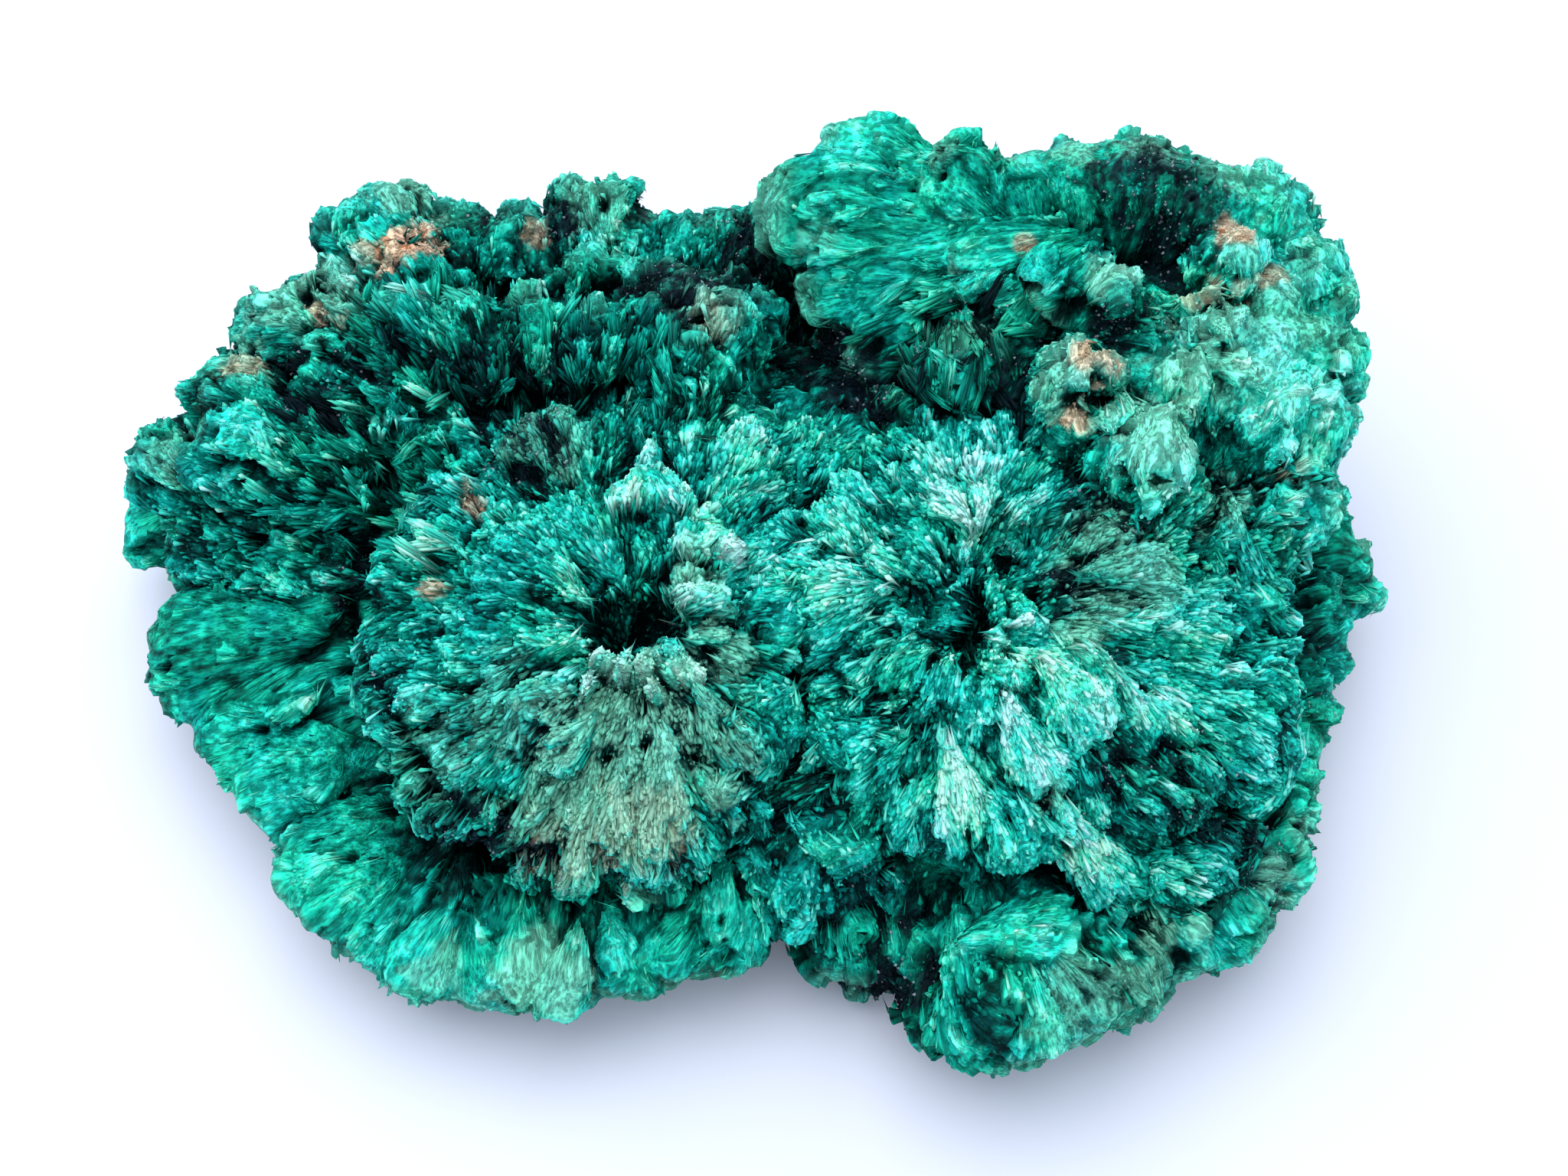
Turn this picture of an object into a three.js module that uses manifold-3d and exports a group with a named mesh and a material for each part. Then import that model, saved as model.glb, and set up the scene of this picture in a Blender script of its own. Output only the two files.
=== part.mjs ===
// A velvet malachite specimen, in millimetres, +Z up, standing on z = 0.
// It is one grown piece: sheaves of fibres that spread from narrow roots to round ends, joined to two flower-like
// rosettes with a pit in the middle, and to a massive foot that was broken off flat.
import * as THREE from "three";
import { mergeVertices } from "three/addons/utils/BufferGeometryUtils.js";
import Module from "manifold-3d";

const wasm = await Module();
wasm.setup();

// Half the specimen's length and depth, and how far the foot's flat break reaches below its rounded lumps.
const REACH = 60;
const BREAK_DEPTH = 20;

// How finely the sheaves, rosettes, foot and pits are faceted, and how many triangles are kept of the joined solid.
// Broad sheaves have more sides than slim ones.
const SLIM_SIDES = 8;
const BROAD_SIDES = 12;
const BROAD = 8.4;
const ROSETTE_SPOKES = 36;
const LUMP_SIDES = 12;
const LUMP_RINGS = 6;
const KEPT_TRIANGLES = 9800;

// A sheaf's outline: how far along it each ring lies, and how wide it is there, as shares of its length and width.
const SHEAF_ALONG = [0, 0.42, 0.76, 0.93, 1];
const SHEAF_SPREAD = [0, 0.66, 1, 0.74, 0];

// How deep the pleats between bundles of fibres are, as a share of the width, and how uneven the outlines are.
const PLEAT = 0.06;
const UNEVEN = 0.12;

// Each sheaf is [root, tip, width, thickness]. The fibres spread from the root, and the tip is the round end's middle.
// The skirt: low, broad fans round the left and front, whose round ends make the scalloped rim.
const SKIRT = [
  [[-34, 8, 8], [-46, 9.5, 5], 7, 6],
  [[-31, 4, 9], [-42, 4, 5], 7, 5],
  [[-27, -1, 12], [-42.8, -3, 6], 11, 6],
  [[-27, -5, 11], [-38, -10.2, 6], 7.5, 5],
  [[-24, -8, 11], [-34.4, -15, 6], 8, 5],
  [[-19, -14, 11], [-30, -21.8, 6], 10, 6],
  [[-18, -16, 11], [-26, -25.2, 5.5], 7, 5],
  [[-17, -16, 11], [-22.8, -27.3, 5.5], 7.5, 5.5],
  [[-14.5, -17, 11], [-18, -28.4, 5.5], 8, 5.5],
  [[-11.5, -17, 11], [-13.5, -28.6, 5.5], 8.5, 5.5],
  [[-8, -17, 11], [-9, -27.6, 5.5], 7, 5.5],
  [[-5, -17, 11], [-5, -26.6, 5.5], 6.5, 5.5],
  [[-2.5, -16, 11], [-1.5, -26, 5.5], 6.5, 5.5],
  [[1, -15, 11], [3.2, -23.2, 6], 7, 5.5],
  [[3, -14, 11], [6.3, -22.3, 5], 6, 5],
];

// The back left: petals that rise outwards from the crevice behind the left rosette, and the crest beyond them.
const BACK_PETALS = [
  [[-26, 2, 11], [-42, 7.5, 10], 9, 6],
  [[-26, 0.5, 12], [-36.5, 3.5, 11], 6.5, 5],
  [[-24, 5, 13], [-38.5, 9.5, 19], 9.5, 8],
  [[-28, 5, 10], [-43, 10.5, 14], 8.5, 8],
  [[-26, 8, 12], [-39.5, 13.5, 18], 7.5, 7],
  [[-24, 10, 12], [-35.5, 18.5, 20], 7.5, 7],
  [[-23, 12, 12], [-32.5, 21.5, 20], 7, 7],
  [[-20, 14, 10], [-28.6, 27.3, 21], 10, 8],
  [[-20, 12, 12], [-25.5, 21.5, 22], 7, 5],
  [[-21, 8, 13], [-31, 15, 21], 5, 5],
  [[-19.5, 9, 13], [-26, 17.5, 21.5], 6, 5],
  [[-17, 10, 13], [-20.5, 18.5, 21.5], 6, 5],
  [[-14.5, 10.5, 13], [-15.5, 18.5, 21], 5.5, 5],
  [[-11.5, 10.5, 13], [-11.5, 18, 21], 5.5, 5],
  [[-20, 20, 8], [-22.3, 28.2, 19.5], 8, 7],
  [[-17, 20, 8], [-17.3, 27.6, 19.5], 8, 7],
  [[-11, 16, 10], [-12, 24, 18.5], 8.5, 6],
  [[-11, 20, 6], [-12.3, 31.2, 18.5], 8.5, 8],
  [[-8, 20, 6], [-8.2, 30.2, 17], 7, 6],
  [[-3, 19, 6], [-2.8, 29, 18], 9, 8],
  [[1, 18, 8], [1.2, 28, 18], 6.5, 6],
  [[-5, 12, 10], [-3.5, 19, 22.5], 13, 10],
  [[-5, 8, 12], [-3.2, 15, 22], 8, 7],
];

// The top right: long fans that stream left and forward from one high crest, and the dark mound in front of them.
const STREAMING_FANS = [
  [[22, 23, 21], [0.8, 24, 24.3], 9.5, 9],
  [[20, 23, 21], [4.4, 28.2, 25], 9, 8],
  [[21, 22, 20], [12.2, 26.6, 26], 8, 8],
  [[21, 22, 20], [18, 26.8, 26.2], 7, 8],
  [[24, 22, 18], [22.8, 27.2, 27.2], 7.5, 8],
  [[26, 21, 18], [28, 26.8, 27.8], 8.5, 8.5],
  [[28, 20, 18], [33.3, 24.8, 27.2], 7.5, 8],
  [[25, 23, 24], [3, 20, 20.5], 9, 7],
  [[25, 22.5, 24], [6, 16, 18.5], 9, 7],
  [[25, 22, 24], [11, 13, 18], 9, 7],
  [[25, 22, 24], [13.5, 18.8, 22.8], 7.5, 6],
  [[25, 21.5, 24], [19.5, 16.5, 23], 7.5, 6],
  [[16, 9, 12], [15.5, 14.6, 22.6], 8.5, 8],
];

// The right: upright columns with round, dusty heads, each fanning up from its own root.
const COLUMNS = [
  [[25, 14, 14], [25, 16.6, 26], 5, 5],
  [[22, 6, 12], [22.6, 9.7, 26], 7, 7],
  [[25.5, 2, 12], [27, 5, 24], 8, 7],
  [[28.5, 8, 12], [29, 10, 25], 5, 5],
  [[31, 12, 12], [31.8, 13.5, 26.5], 6.5, 6],
  [[33, 8, 12], [33.2, 10.5, 25], 5, 5],
  [[35, 11, 12], [35.5, 13, 25.5], 5, 5],
  [[32, 17, 14], [33.6, 19.5, 27], 6.5, 6],
  [[35, 15, 12], [36.2, 16.5, 26], 5.5, 5],
  [[37, 16, 12], [38.2, 18.5, 25.5], 5.5, 5],
  [[33, 18, 10], [36.8, 25, 26.5], 8, 8],
  [[33, 16, 8], [39.2, 22, 24.5], 8.5, 8],
  [[33, 14, 8], [40.6, 18, 24], 7, 6],
  [[33, 12, 8], [40.2, 14, 24], 8, 7],
  [[32, 8, 8], [39.9, 9.5, 23], 8.5, 7],
  [[32, 4, 8], [39.6, 5.5, 19], 8.5, 7],
  [[32, 6, 10], [36.6, 9.5, 24], 7, 7],
];

// The right and front: the outer lobes under the right rosette, and the big kidney-shaped one at the front.
const OUTER_LOBES = [
  [[33, 8, 8], [43.2, 10.5, 8.5], 8.5, 7],
  [[33, 3, 8], [44.4, 5.8, 7], 11, 7],
  [[33, -2, 8], [42.4, -0.6, 8], 8.5, 7],
  [[32, -6, 8], [40.9, -6.8, 7], 8.5, 7],
  [[30, -9, 8], [39.4, -11.7, 6.5], 8.5, 7],
  [[27, -13, 9], [37.7, -17.2, 6], 9, 7],
  [[26, -14, 9], [36.2, -21.2, 6], 9, 7],
  [[26, -15, 9], [33.5, -25, 6], 8, 7],
  [[24, -16, 9], [29.8, -26.5, 6], 7, 6],
  [[20, -20, 9], [26.3, -29.3, 6.5], 7, 7],
  [[15, -18, 10], [21, -31.6, 6.5], 15, 9],
  [[13, -20, 8], [15, -30.6, 5], 9, 6],
  [[8, -17, 6], [7.2, -26.3, 4.5], 8, 6],
];

// The feathers that lie on the rosettes and in the valley behind them: the pale fan that spreads from the left pit to
// the front, and those that step down from the right pit to the front and the right.
const FEATHERS = [
  [[-7, -10.5, 19.5], [-8.8, -22, 14], 17, 5],
  [[30, 3, 16], [36.8, 2, 15], 8, 7],
  [[28, -2, 16.5], [35.2, -3.2, 14.5], 8, 6],
  [[25, 2, 18], [31, 2.5, 18], 7, 6],
  [[20, 0.5, 18], [25.5, 2.2, 19], 6.5, 5],
  [[17.5, 0, 17.5], [20, 5.2, 19], 6, 5],
  [[12, 0.5, 17], [11.5, 6, 17.5], 7, 5],
  [[-1.5, 4, 14], [0.5, 10.5, 19], 8, 7],
  [[4, 2, 14], [5.5, 8, 17.5], 7, 6],
  [[12.4, -12.5, 17.5], [13.2, -20, 13], 7, 4],
  [[16.5, -11.5, 18], [19.2, -16.5, 15], 5, 3.5],
  [[19.7, -9, 18.5], [27.5, -13.3, 15], 7, 3.5],
  [[20.5, -12.3, 16], [24.4, -17.5, 13], 7, 3.5],
  [[20.3, -16.5, 13.5], [23.9, -22.5, 11], 6, 3.5],
  [[31, -7.7, 15], [36.8, -7.4, 13.5], 8.5, 5],
  [[29.7, -11.2, 14], [36, -13.6, 12], 7.5, 5],
  [[24, -15, 10], [30.5, -22, 9], 8.5, 6],
];

// A rosette: its centre, its reach to the right, back, left and front, the height of its rim on those four sides, and
// how high its surface stands at the pit's floor and at the pit's lip.
const LEFT_ROSETTE = {
  centre: [-7.1, -8],
  reach: [9, 18.5, 18.5, 14.5],
  rim: [17.5, 19, 16.5, 13.5],
  floor: 13.5,
  lip: 20.5,
  pit: 3.4,
  scallops: 11,
};
const RIGHT_ROSETTE = {
  centre: [14.6, -5.6],
  reach: [22, 14, 10, 15],
  rim: [15, 19, 17, 12],
  floor: 12,
  lip: 19.5,
  pit: 1.6,
  scallops: 10,
};

// Rings of small fans that shingle a rosette: how many, where their roots and tips are as a share of the reach, width.
const SHINGLES = [
  { count: 8, from: 0.2, to: 0.6, width: 6.6, thickness: 3.8 },
  { count: 12, from: 0.52, to: 1.02, width: 8, thickness: 4.6 },
];

// The foot: lumps of massive malachite under the fans, [middle, half sizes], cut off flat at z = 0.
const FOOT = [
  [[-12, -5, 5], [23, 17, 8]],
  [[17, -5, 5], [21, 18, 9]],
  [[20, 13, 8], [20, 13, 11]],
  [[20, 18, 11], [17, 9, 10]],
  [[29, 14.5, 12], [12, 11.5, 11.5]],
  [[-20, 13, 7], [17, 12, 10]],
  [[0, 8, 8], [24, 15, 10]],
];

// Narrow pits and crevices between the sheaves, [middle, half sizes].
const PITS = [
  [[15.2, -6.6, 18], [1.5, 4.2, 5]],
  [[17.6, -1.2, 18.5], [1.4, 1.2, 4]],
  [[10.2, -5.2, 18.5], [1.2, 1.1, 3.5]],
  [[19.5, -4.5, 18.5], [1.2, 0.9, 3]],
  [[-25.4, -3, 13], [1.6, 3.2, 4]],
  [[-23.2, -14, 11], [2.4, 1.2, 4]],
  [[-17.6, -18.6, 10.5], [1.1, 1.8, 4]],
  [[-34.6, 3.3, 13], [2.2, 0.9, 2]],
  [[24.3, 8, 24], [1.3, 1.2, 6]],
  [[30.6, 13.6, 25], [1.6, 1, 4]],
];

// The unseen back: low round-ended sheaves along it, from the right end to the left.
const BACK_WALL = { count: 9, from: 22, to: 154, reach: [42, 29], root: 0.62, low: 5, high: 12, width: 12 };

const TAU = 2 * Math.PI;

// A number from 0 to 1 that is always the same for the same n.
function chance(n) {
  const wave = Math.sin(n * 127.1 + 11.7) * 43758.5453;
  return wave - Math.floor(wave);
}

// A closed shell: a sphere's grid, each point moved to where place(ring, turn, spoke) says, as ring counts from pole to
// pole and spoke goes round.
function shell(sides, rings, place) {
  const ball = new THREE.SphereGeometry(1, sides, rings);
  ball.deleteAttribute("normal");
  ball.deleteAttribute("uv");
  const merged = mergeVertices(ball, 1e-4);
  const points = merged.getAttribute("position");
  for (let i = 0; i < points.count; i++) {
    const ring = Math.round((Math.acos(THREE.MathUtils.clamp(points.getY(i), -1, 1)) / Math.PI) * rings);
    const turn = (Math.atan2(points.getZ(i), -points.getX(i)) + TAU) % TAU;
    const spoke = Math.round((turn / TAU) * sides) % sides;
    const moved = place(ring, turn, spoke);
    points.setXYZ(i, moved.x, moved.y, moved.z);
  }
  return merged;
}

function solidOf(geometry) {
  return new wasm.Manifold(
    new wasm.Mesh({
      numProp: 3,
      vertProperties: geometry.getAttribute("position").array,
      triVerts: new Uint32Array(geometry.index.array),
    }),
  );
}

// A sheaf of fibres: narrow at its root, widest near its round end, pleated along its length.
function sheaf([rootAt, tipAt, width, thickness], seed) {
  const root = new THREE.Vector3(...rootAt);
  const aim = new THREE.Vector3(...tipAt).sub(root);
  const length = aim.length();
  aim.normalize();
  const upright = Math.abs(aim.z) > 0.9 ? new THREE.Vector3(0, 1, 0) : new THREE.Vector3(0, 0, 1);
  const side = new THREE.Vector3().crossVectors(aim, upright).normalize();
  const up = new THREE.Vector3().crossVectors(side, aim);
  const sides = width >= BROAD ? BROAD_SIDES : SLIM_SIDES;
  return shell(sides, SHEAF_ALONG.length - 1, (ring, turn, spoke) => {
    const ridge = (spoke % 2 ? -1 : 1) * PLEAT;
    const uneven = 1 + UNEVEN * (chance(seed + 17 * spoke + 3 * ring) - 0.5);
    const spread = SHEAF_SPREAD[ring] * (1 + ridge) * uneven;
    const reach = SHEAF_ALONG[ring] + (ring === 3 ? ridge * 0.5 : 0);
    return root
      .clone()
      .addScaledVector(aim, length * reach)
      .addScaledVector(side, (width / 2) * spread * Math.cos(turn))
      .addScaledVector(up, (thickness / 2) * spread * Math.sin(turn));
  });
}

// A value that changes smoothly between the four given for the right, back, left and front.
function aroundFour([right, back, left, front], turn) {
  const x = Math.cos(turn);
  const y = Math.sin(turn);
  return (x > 0 ? right : left) * x * x + (y > 0 ? back : front) * y * y;
}

// The surface of a rosette: the point at a share of its reach in the direction turn.
function onRosette(rosette, share, turn) {
  const reach = aroundFour(rosette.reach, turn) * share;
  const fall = rosette.lip - aroundFour(rosette.rim, turn);
  return new THREE.Vector3(
    rosette.centre[0] + reach * Math.cos(turn),
    rosette.centre[1] + reach * Math.sin(turn),
    rosette.lip - fall * share ** 1.6,
  );
}

// A rosette's body: a pit, a pleated top that falls away to a scalloped rim, and an undercut below the rim.
function rosetteBody(rosette) {
  const shares = [0, 0, 0, 0.36, 0.6, 0.82, 1, 0.95, 0.66, 0];
  return shell(ROSETTE_SPOKES, shares.length - 1, (ring, turn, spoke) => {
    const ridge = spoke % 2 ? -1 : 1;
    const scallop = Math.abs(Math.sin((rosette.scallops * turn) / 2)) - 0.6;
    const outward = ring > 2 && ring < 9 ? shares[ring] : 0;
    const pit = (rosette.pit * [0, 0.75, 1][ring]) / aroundFour(rosette.reach, turn);
    const share = ring < 3 ? pit : shares[ring] * (1 + 0.1 * scallop * outward);
    const at = onRosette(rosette, share, turn);
    const rim = aroundFour(rosette.rim, turn);
    if (ring < 2) at.z = rosette.floor;
    else if (ring < 7) at.z += ridge * (0.15 + 0.45 * outward) + 1.4 * scallop * outward;
    else at.z = [rim - 3, rim - 7, 5][ring - 7];
    return at;
  });
}

// The rings of small fans on a rosette, each tip standing a little proud of the surface it reaches.
function shingles(rosette, seed) {
  const made = [];
  SHINGLES.forEach(({ count, from, to, width, thickness }, ring) => {
    for (let i = 0; i < count; i++) {
      const n = seed + 31 * ring + i;
      const turn = ((i + 0.5 * ring + 0.5 * (chance(n) - 0.5)) / count) * TAU;
      const sway = 0.16 * (chance(n + 5) - 0.5);
      const root = onRosette(rosette, from + 0.06 * (chance(n + 7) - 0.5), turn);
      const tip = onRosette(rosette, to + 0.1 * (chance(n + 9) - 0.5), turn + sway);
      root.z -= 0.9;
      tip.z += 0.2 + 0.9 * chance(n + 13);
      made.push(sheaf([root.toArray(), tip.toArray(), width * (0.85 + 0.4 * chance(n + 3)), thickness], n));
    }
  });
  return made;
}

function lump([middle, half], seed) {
  return shell(LUMP_SIDES, LUMP_RINGS, (ring, turn, spoke) => {
    const polar = (Math.PI * ring) / LUMP_RINGS;
    const out = Math.sin(polar) * (1 + UNEVEN * (chance(seed + spoke + 40 * ring) - 0.5));
    return new THREE.Vector3(
      middle[0] + half[0] * out * Math.cos(turn),
      middle[1] + half[1] * out * Math.sin(turn),
      middle[2] + half[2] * Math.cos(polar),
    );
  });
}

function backWall() {
  const { count, from, to, reach, root, low, high, width } = BACK_WALL;
  const made = [];
  for (let i = 0; i < count; i++) {
    const turn = THREE.MathUtils.degToRad(from + ((to - from) * i) / (count - 1));
    const out = 0.94 + 0.1 * chance(i + 60);
    const tip = [reach[0] * Math.cos(turn) * out, reach[1] * Math.sin(turn) * out, low + (high - low) * chance(i + 80)];
    const start = [tip[0] * root, tip[1] * root, 7];
    made.push(sheaf([start, tip, width * (0.85 + 0.4 * chance(i + 90)), 8], 300 + i));
  }
  return made;
}

function joined(solids) {
  return solids.reduce((whole, part) => whole.add(part));
}

function malachite() {
  const traced = [...SKIRT, ...BACK_PETALS, ...STREAMING_FANS, ...COLUMNS, ...OUTER_LOBES, ...FEATHERS];
  const shells = [
    ...FOOT.map((row, i) => lump(row, 500 + 90 * i)),
    rosetteBody(LEFT_ROSETTE),
    rosetteBody(RIGHT_ROSETTE),
    ...shingles(LEFT_ROSETTE, 1000),
    ...shingles(RIGHT_ROSETTE, 2000),
    ...traced.map((row, i) => sheaf(row, i)),
    ...backWall(),
  ];
  const below = new THREE.BoxGeometry(2 * REACH, 2 * REACH, BREAK_DEPTH);
  below.deleteAttribute("normal");
  below.deleteAttribute("uv");
  below.translate(0, 0, -BREAK_DEPTH / 2);
  const cuts = [mergeVertices(below), ...PITS.map((row, i) => lump(row, 700 + 90 * i))];
  return joined(shells.map(solidOf)).subtract(joined(cuts.map(solidOf)));
}

// The solid's outer skin: where sheaves close over a small gap between them, the gap is filled.
function outerSkin(solid) {
  const { vertProperties, triVerts } = solid.getMesh();
  const owner = Array.from({ length: vertProperties.length / 3 }, (_, i) => i);
  const find = (i) => {
    while (owner[i] !== i) i = owner[i] = owner[owner[i]];
    return i;
  };
  for (let t = 0; t < triVerts.length; t += 3) {
    owner[find(triVerts[t])] = find(triVerts[t + 1]);
    owner[find(triVerts[t + 1])] = find(triVerts[t + 2]);
  }
  const skins = new Map();
  for (let t = 0; t < triVerts.length; t += 3) {
    const key = find(triVerts[t]);
    if (!skins.has(key)) skins.set(key, []);
    skins.get(key).push(triVerts[t], triVerts[t + 1], triVerts[t + 2]);
  }
  const outer = [...skins.values()].reduce((a, b) => (b.length > a.length ? b : a));
  const newIndex = new Map();
  const positions = [];
  const faces = outer.map((v) => {
    if (!newIndex.has(v)) {
      newIndex.set(v, newIndex.size);
      positions.push(vertProperties[3 * v], vertProperties[3 * v + 1], vertProperties[3 * v + 2]);
    }
    return newIndex.get(v);
  });
  const geometry = new THREE.BufferGeometry();
  geometry.setAttribute("position", new THREE.Float32BufferAttribute(positions, 3));
  geometry.setIndex(faces);
  return geometry;
}

// The same closed skin with fewer triangles: slivers and nearly flat corners go first, and nothing opens or folds over.
function thinned(geometry, kept) {
  const position = geometry.getAttribute("position");
  const points = Array.from({ length: position.count }, (_, i) => new THREE.Vector3().fromBufferAttribute(position, i));
  const faces = new Set();
  const around = points.map(() => new Set());
  const insert = (face) => {
    faces.add(face);
    face.forEach((v) => around[v].add(face));
  };
  const remove = (face) => {
    faces.delete(face);
    face.forEach((v) => around[v].delete(face));
  };
  for (let t = 0; t < geometry.index.count; t += 3) insert([...geometry.index.array.slice(t, t + 3)]);
  const normal = ([a, b, c]) => {
    const ab = new THREE.Vector3().subVectors(points[b], points[a]);
    return ab.cross(new THREE.Vector3().subVectors(points[c], points[a]));
  };
  const moved = (face, from, to) => face.map((v) => (v === from ? to : v));
  const shift = (from, to) => {
    const step = new THREE.Vector3().subVectors(points[to], points[from]);
    return [...around[from]].reduce((sum, face) => {
      const n = normal(face);
      return sum + n.dot(step) ** 2 / (n.length() + 1e-9);
    }, 0);
  };
  const folds = (from, to) =>
    [...around[from]].some((face) => {
      if (face.includes(to)) return false;
      const before = normal(face).normalize();
      const after = normal(moved(face, from, to));
      return after.length() < 1e-3 || before.dot(after.normalize()) < 0.3;
    });
  const neighbours = (v) => new Set([...around[v]].flat().filter((w) => w !== v));
  for (let round = 0; round < 40 && faces.size > kept; round++) {
    const edges = [...faces].flatMap(([a, b, c]) => [[a, b], [b, c], [c, a]]);
    const cheapest = edges.map(([from, to]) => [shift(from, to), from, to]).sort((m, n) => m[0] - n[0]);
    const touched = new Set();
    for (const [, from, to] of cheapest.slice(0, cheapest.length / 4)) {
      if (faces.size <= kept) break;
      if (touched.has(from) || touched.has(to)) continue;
      const near = neighbours(to);
      const shared = [...neighbours(from)].filter((v) => near.has(v));
      if (shared.length !== 2 || folds(from, to)) continue;
      for (const face of [...around[from]]) {
        remove(face);
        if (!face.includes(to)) insert(moved(face, from, to));
      }
      [from, to, ...neighbours(to)].forEach((v) => touched.add(v));
    }
  }
  return [points, [...faces]];
}

// The specimen as one geometry, standing on z = 0 and centred over the origin.
function finished() {
  const [points, faces] = thinned(outerSkin(malachite()), KEPT_TRIANGLES);
  const flat = new THREE.BufferGeometry().setFromPoints(faces.flat().map((v) => points[v]));
  const whole = mergeVertices(flat);
  whole.computeBoundingBox();
  const { min, max } = whole.boundingBox;
  return whole.translate(-(min.x + max.x) / 2, -(min.y + max.y) / 2, -min.z);
}

const greenMalachite = new THREE.MeshStandardMaterial({ color: 0x0c8a68, roughness: 0.75, metalness: 0 });
const specimen = new THREE.Mesh(finished(), greenMalachite);
specimen.name = "malachite";

const group = new THREE.Group();
group.add(specimen);

export default group;
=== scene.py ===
# %% [markdown]
# # A velvet malachite specimen
# Malachite is a green copper mineral. In this specimen it grew as fine fibres that spread from many starting
# points, so the surface is a crowd of fans: some lie close like silk, some overlap like feathers, and the
# oldest ones carry a tan dust. The lesson dresses a plain solid of the specimen with that surface.

# %% The solid that everything grows from
import itertools
import math

import bmesh
import bpy
import numpy as np
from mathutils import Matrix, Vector
from mathutils.bvhtree import BVHTree
from mathutils.kdtree import KDTree


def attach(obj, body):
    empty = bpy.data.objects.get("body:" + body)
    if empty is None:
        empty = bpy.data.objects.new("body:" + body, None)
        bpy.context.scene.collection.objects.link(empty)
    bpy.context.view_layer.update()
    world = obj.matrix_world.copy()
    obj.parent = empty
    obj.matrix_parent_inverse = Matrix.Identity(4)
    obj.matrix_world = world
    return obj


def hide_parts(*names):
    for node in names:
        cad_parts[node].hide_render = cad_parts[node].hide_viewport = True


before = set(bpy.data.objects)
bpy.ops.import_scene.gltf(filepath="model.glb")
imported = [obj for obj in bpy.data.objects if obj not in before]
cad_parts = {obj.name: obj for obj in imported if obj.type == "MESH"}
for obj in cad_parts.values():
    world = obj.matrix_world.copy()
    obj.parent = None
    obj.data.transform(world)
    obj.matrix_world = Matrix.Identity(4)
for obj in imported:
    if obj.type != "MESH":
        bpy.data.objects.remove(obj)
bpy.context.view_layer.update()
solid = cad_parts["malachite"]

# %% [markdown]
# Sizes are easier to read in millimetres, and Blender works in metres, so arrays are kept in millimetres and
# divided by a thousand when a mesh is made. The lists of places start from a point just over half a
# millimetre from the frame's origin, and ORIGIN says where that origin lies among them. Colours are
# written as the eye reads them, from 0 to 255, and turned into the linear values that a shader adds and
# multiplies.

# %% Units, colours and chance
MM = 0.001
ORIGIN = np.array([-0.557, -0.275, 0.0])
RANDOM = np.random.default_rng(7)
CHANCE_STEPS = np.array([127.1, 311.7, 74.7])
CHANCE_START = 11.7
CHANCE_SEED = 19.19
CHANCE_SCALE = 43758.5453


def linear(red, green, blue):
    value = np.array([red, green, blue]) / 255
    return np.where(value < 0.04045, value / 12.92, ((value + 0.055) / 1.055) ** 2.4)


def blend(first, second, share):
    share = np.asarray(share)[..., None]
    return first * (1 - share) + second * share


def step_up(value, low, high):
    t = np.clip((value - low) / (high - low), 0, 1)
    return t * t * (3 - 2 * t)


def chance(n):
    wave = np.sin(n * CHANCE_STEPS[0] + CHANCE_START) * CHANCE_SCALE
    return wave - np.floor(wave)


def unit(vectors):
    return vectors / (np.linalg.norm(vectors, axis=-1, keepdims=True) + 1e-9)


def dot(first, second):
    return (first * second).sum(-1, keepdims=True)


print("one millimetre is", MM, "Blender units")

# %% [markdown]
# Natural unevenness needs a noise that is smooth, repeatable and quick for hundreds of thousands of points.
# A lattice of random numbers, blended between its corners, does that in a few lines.

# %% A smooth noise for arrays of points
def lattice(cells, seed):
    wave = np.sin(cells @ CHANCE_STEPS + seed * CHANCE_SEED) * CHANCE_SCALE
    return wave - np.floor(wave)


def cloud(at, size, seed=0):
    scaled = at / size
    low = np.floor(scaled)
    part = scaled - low
    part = part * part * (3 - 2 * part)
    total = 0
    for corner in itertools.product((0, 1), repeat=3):
        weight = np.prod(np.where(corner, part, 1 - part), axis=-1)
        total = total + weight * lattice(low + np.array(corner), seed)
    return total


print("noise at the origin:", float(cloud(np.zeros((1, 3)), 1.0)[0]))

# %% [markdown]
# The fibres of each sheaf start at its root and spread towards its tip. These rows say where, in millimetres:
# root, tip, width and thickness. Everything later asks them one question: at this point of the surface, which
# way did it grow? The skirt's last two sheaves are a family of their own, because they are feathery and the
# others silky.

# %% The skirt's sheaves
SKIRT = [
    [(-34, 8, 8), (-46, 9.5, 5), 7, 6],
    [(-31, 4, 9), (-42, 4, 5), 7, 5],
    [(-27, -1, 12), (-42.8, -3, 6), 11, 6],
    [(-27, -5, 11), (-38, -10.2, 6), 7.5, 5],
    [(-24, -8, 11), (-34.4, -15, 6), 8, 5],
    [(-19, -14, 11), (-30, -21.8, 6), 10, 6],
    [(-18, -16, 11), (-26, -25.2, 5.5), 7, 5],
    [(-17, -16, 11), (-22.8, -27.3, 5.5), 7.5, 5.5],
    [(-14.5, -17, 11), (-18, -28.4, 5.5), 8, 5.5],
    [(-11.5, -17, 11), (-13.5, -28.6, 5.5), 8.5, 5.5],
    [(-8, -17, 11), (-9, -27.6, 5.5), 7, 5.5],
    [(-5, -17, 11), (-5, -26.6, 5.5), 6.5, 5.5],
    [(-2.5, -16, 11), (-1.5, -26, 5.5), 6.5, 5.5],
]
SKIRT_END = [
    [(1, -15, 11), (3.2, -23.2, 6), 7, 5.5],
    [(3, -14, 11), (6.3, -22.3, 5), 6, 5],
]
print("sheaves in the skirt:", len(SKIRT) + len(SKIRT_END))

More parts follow.
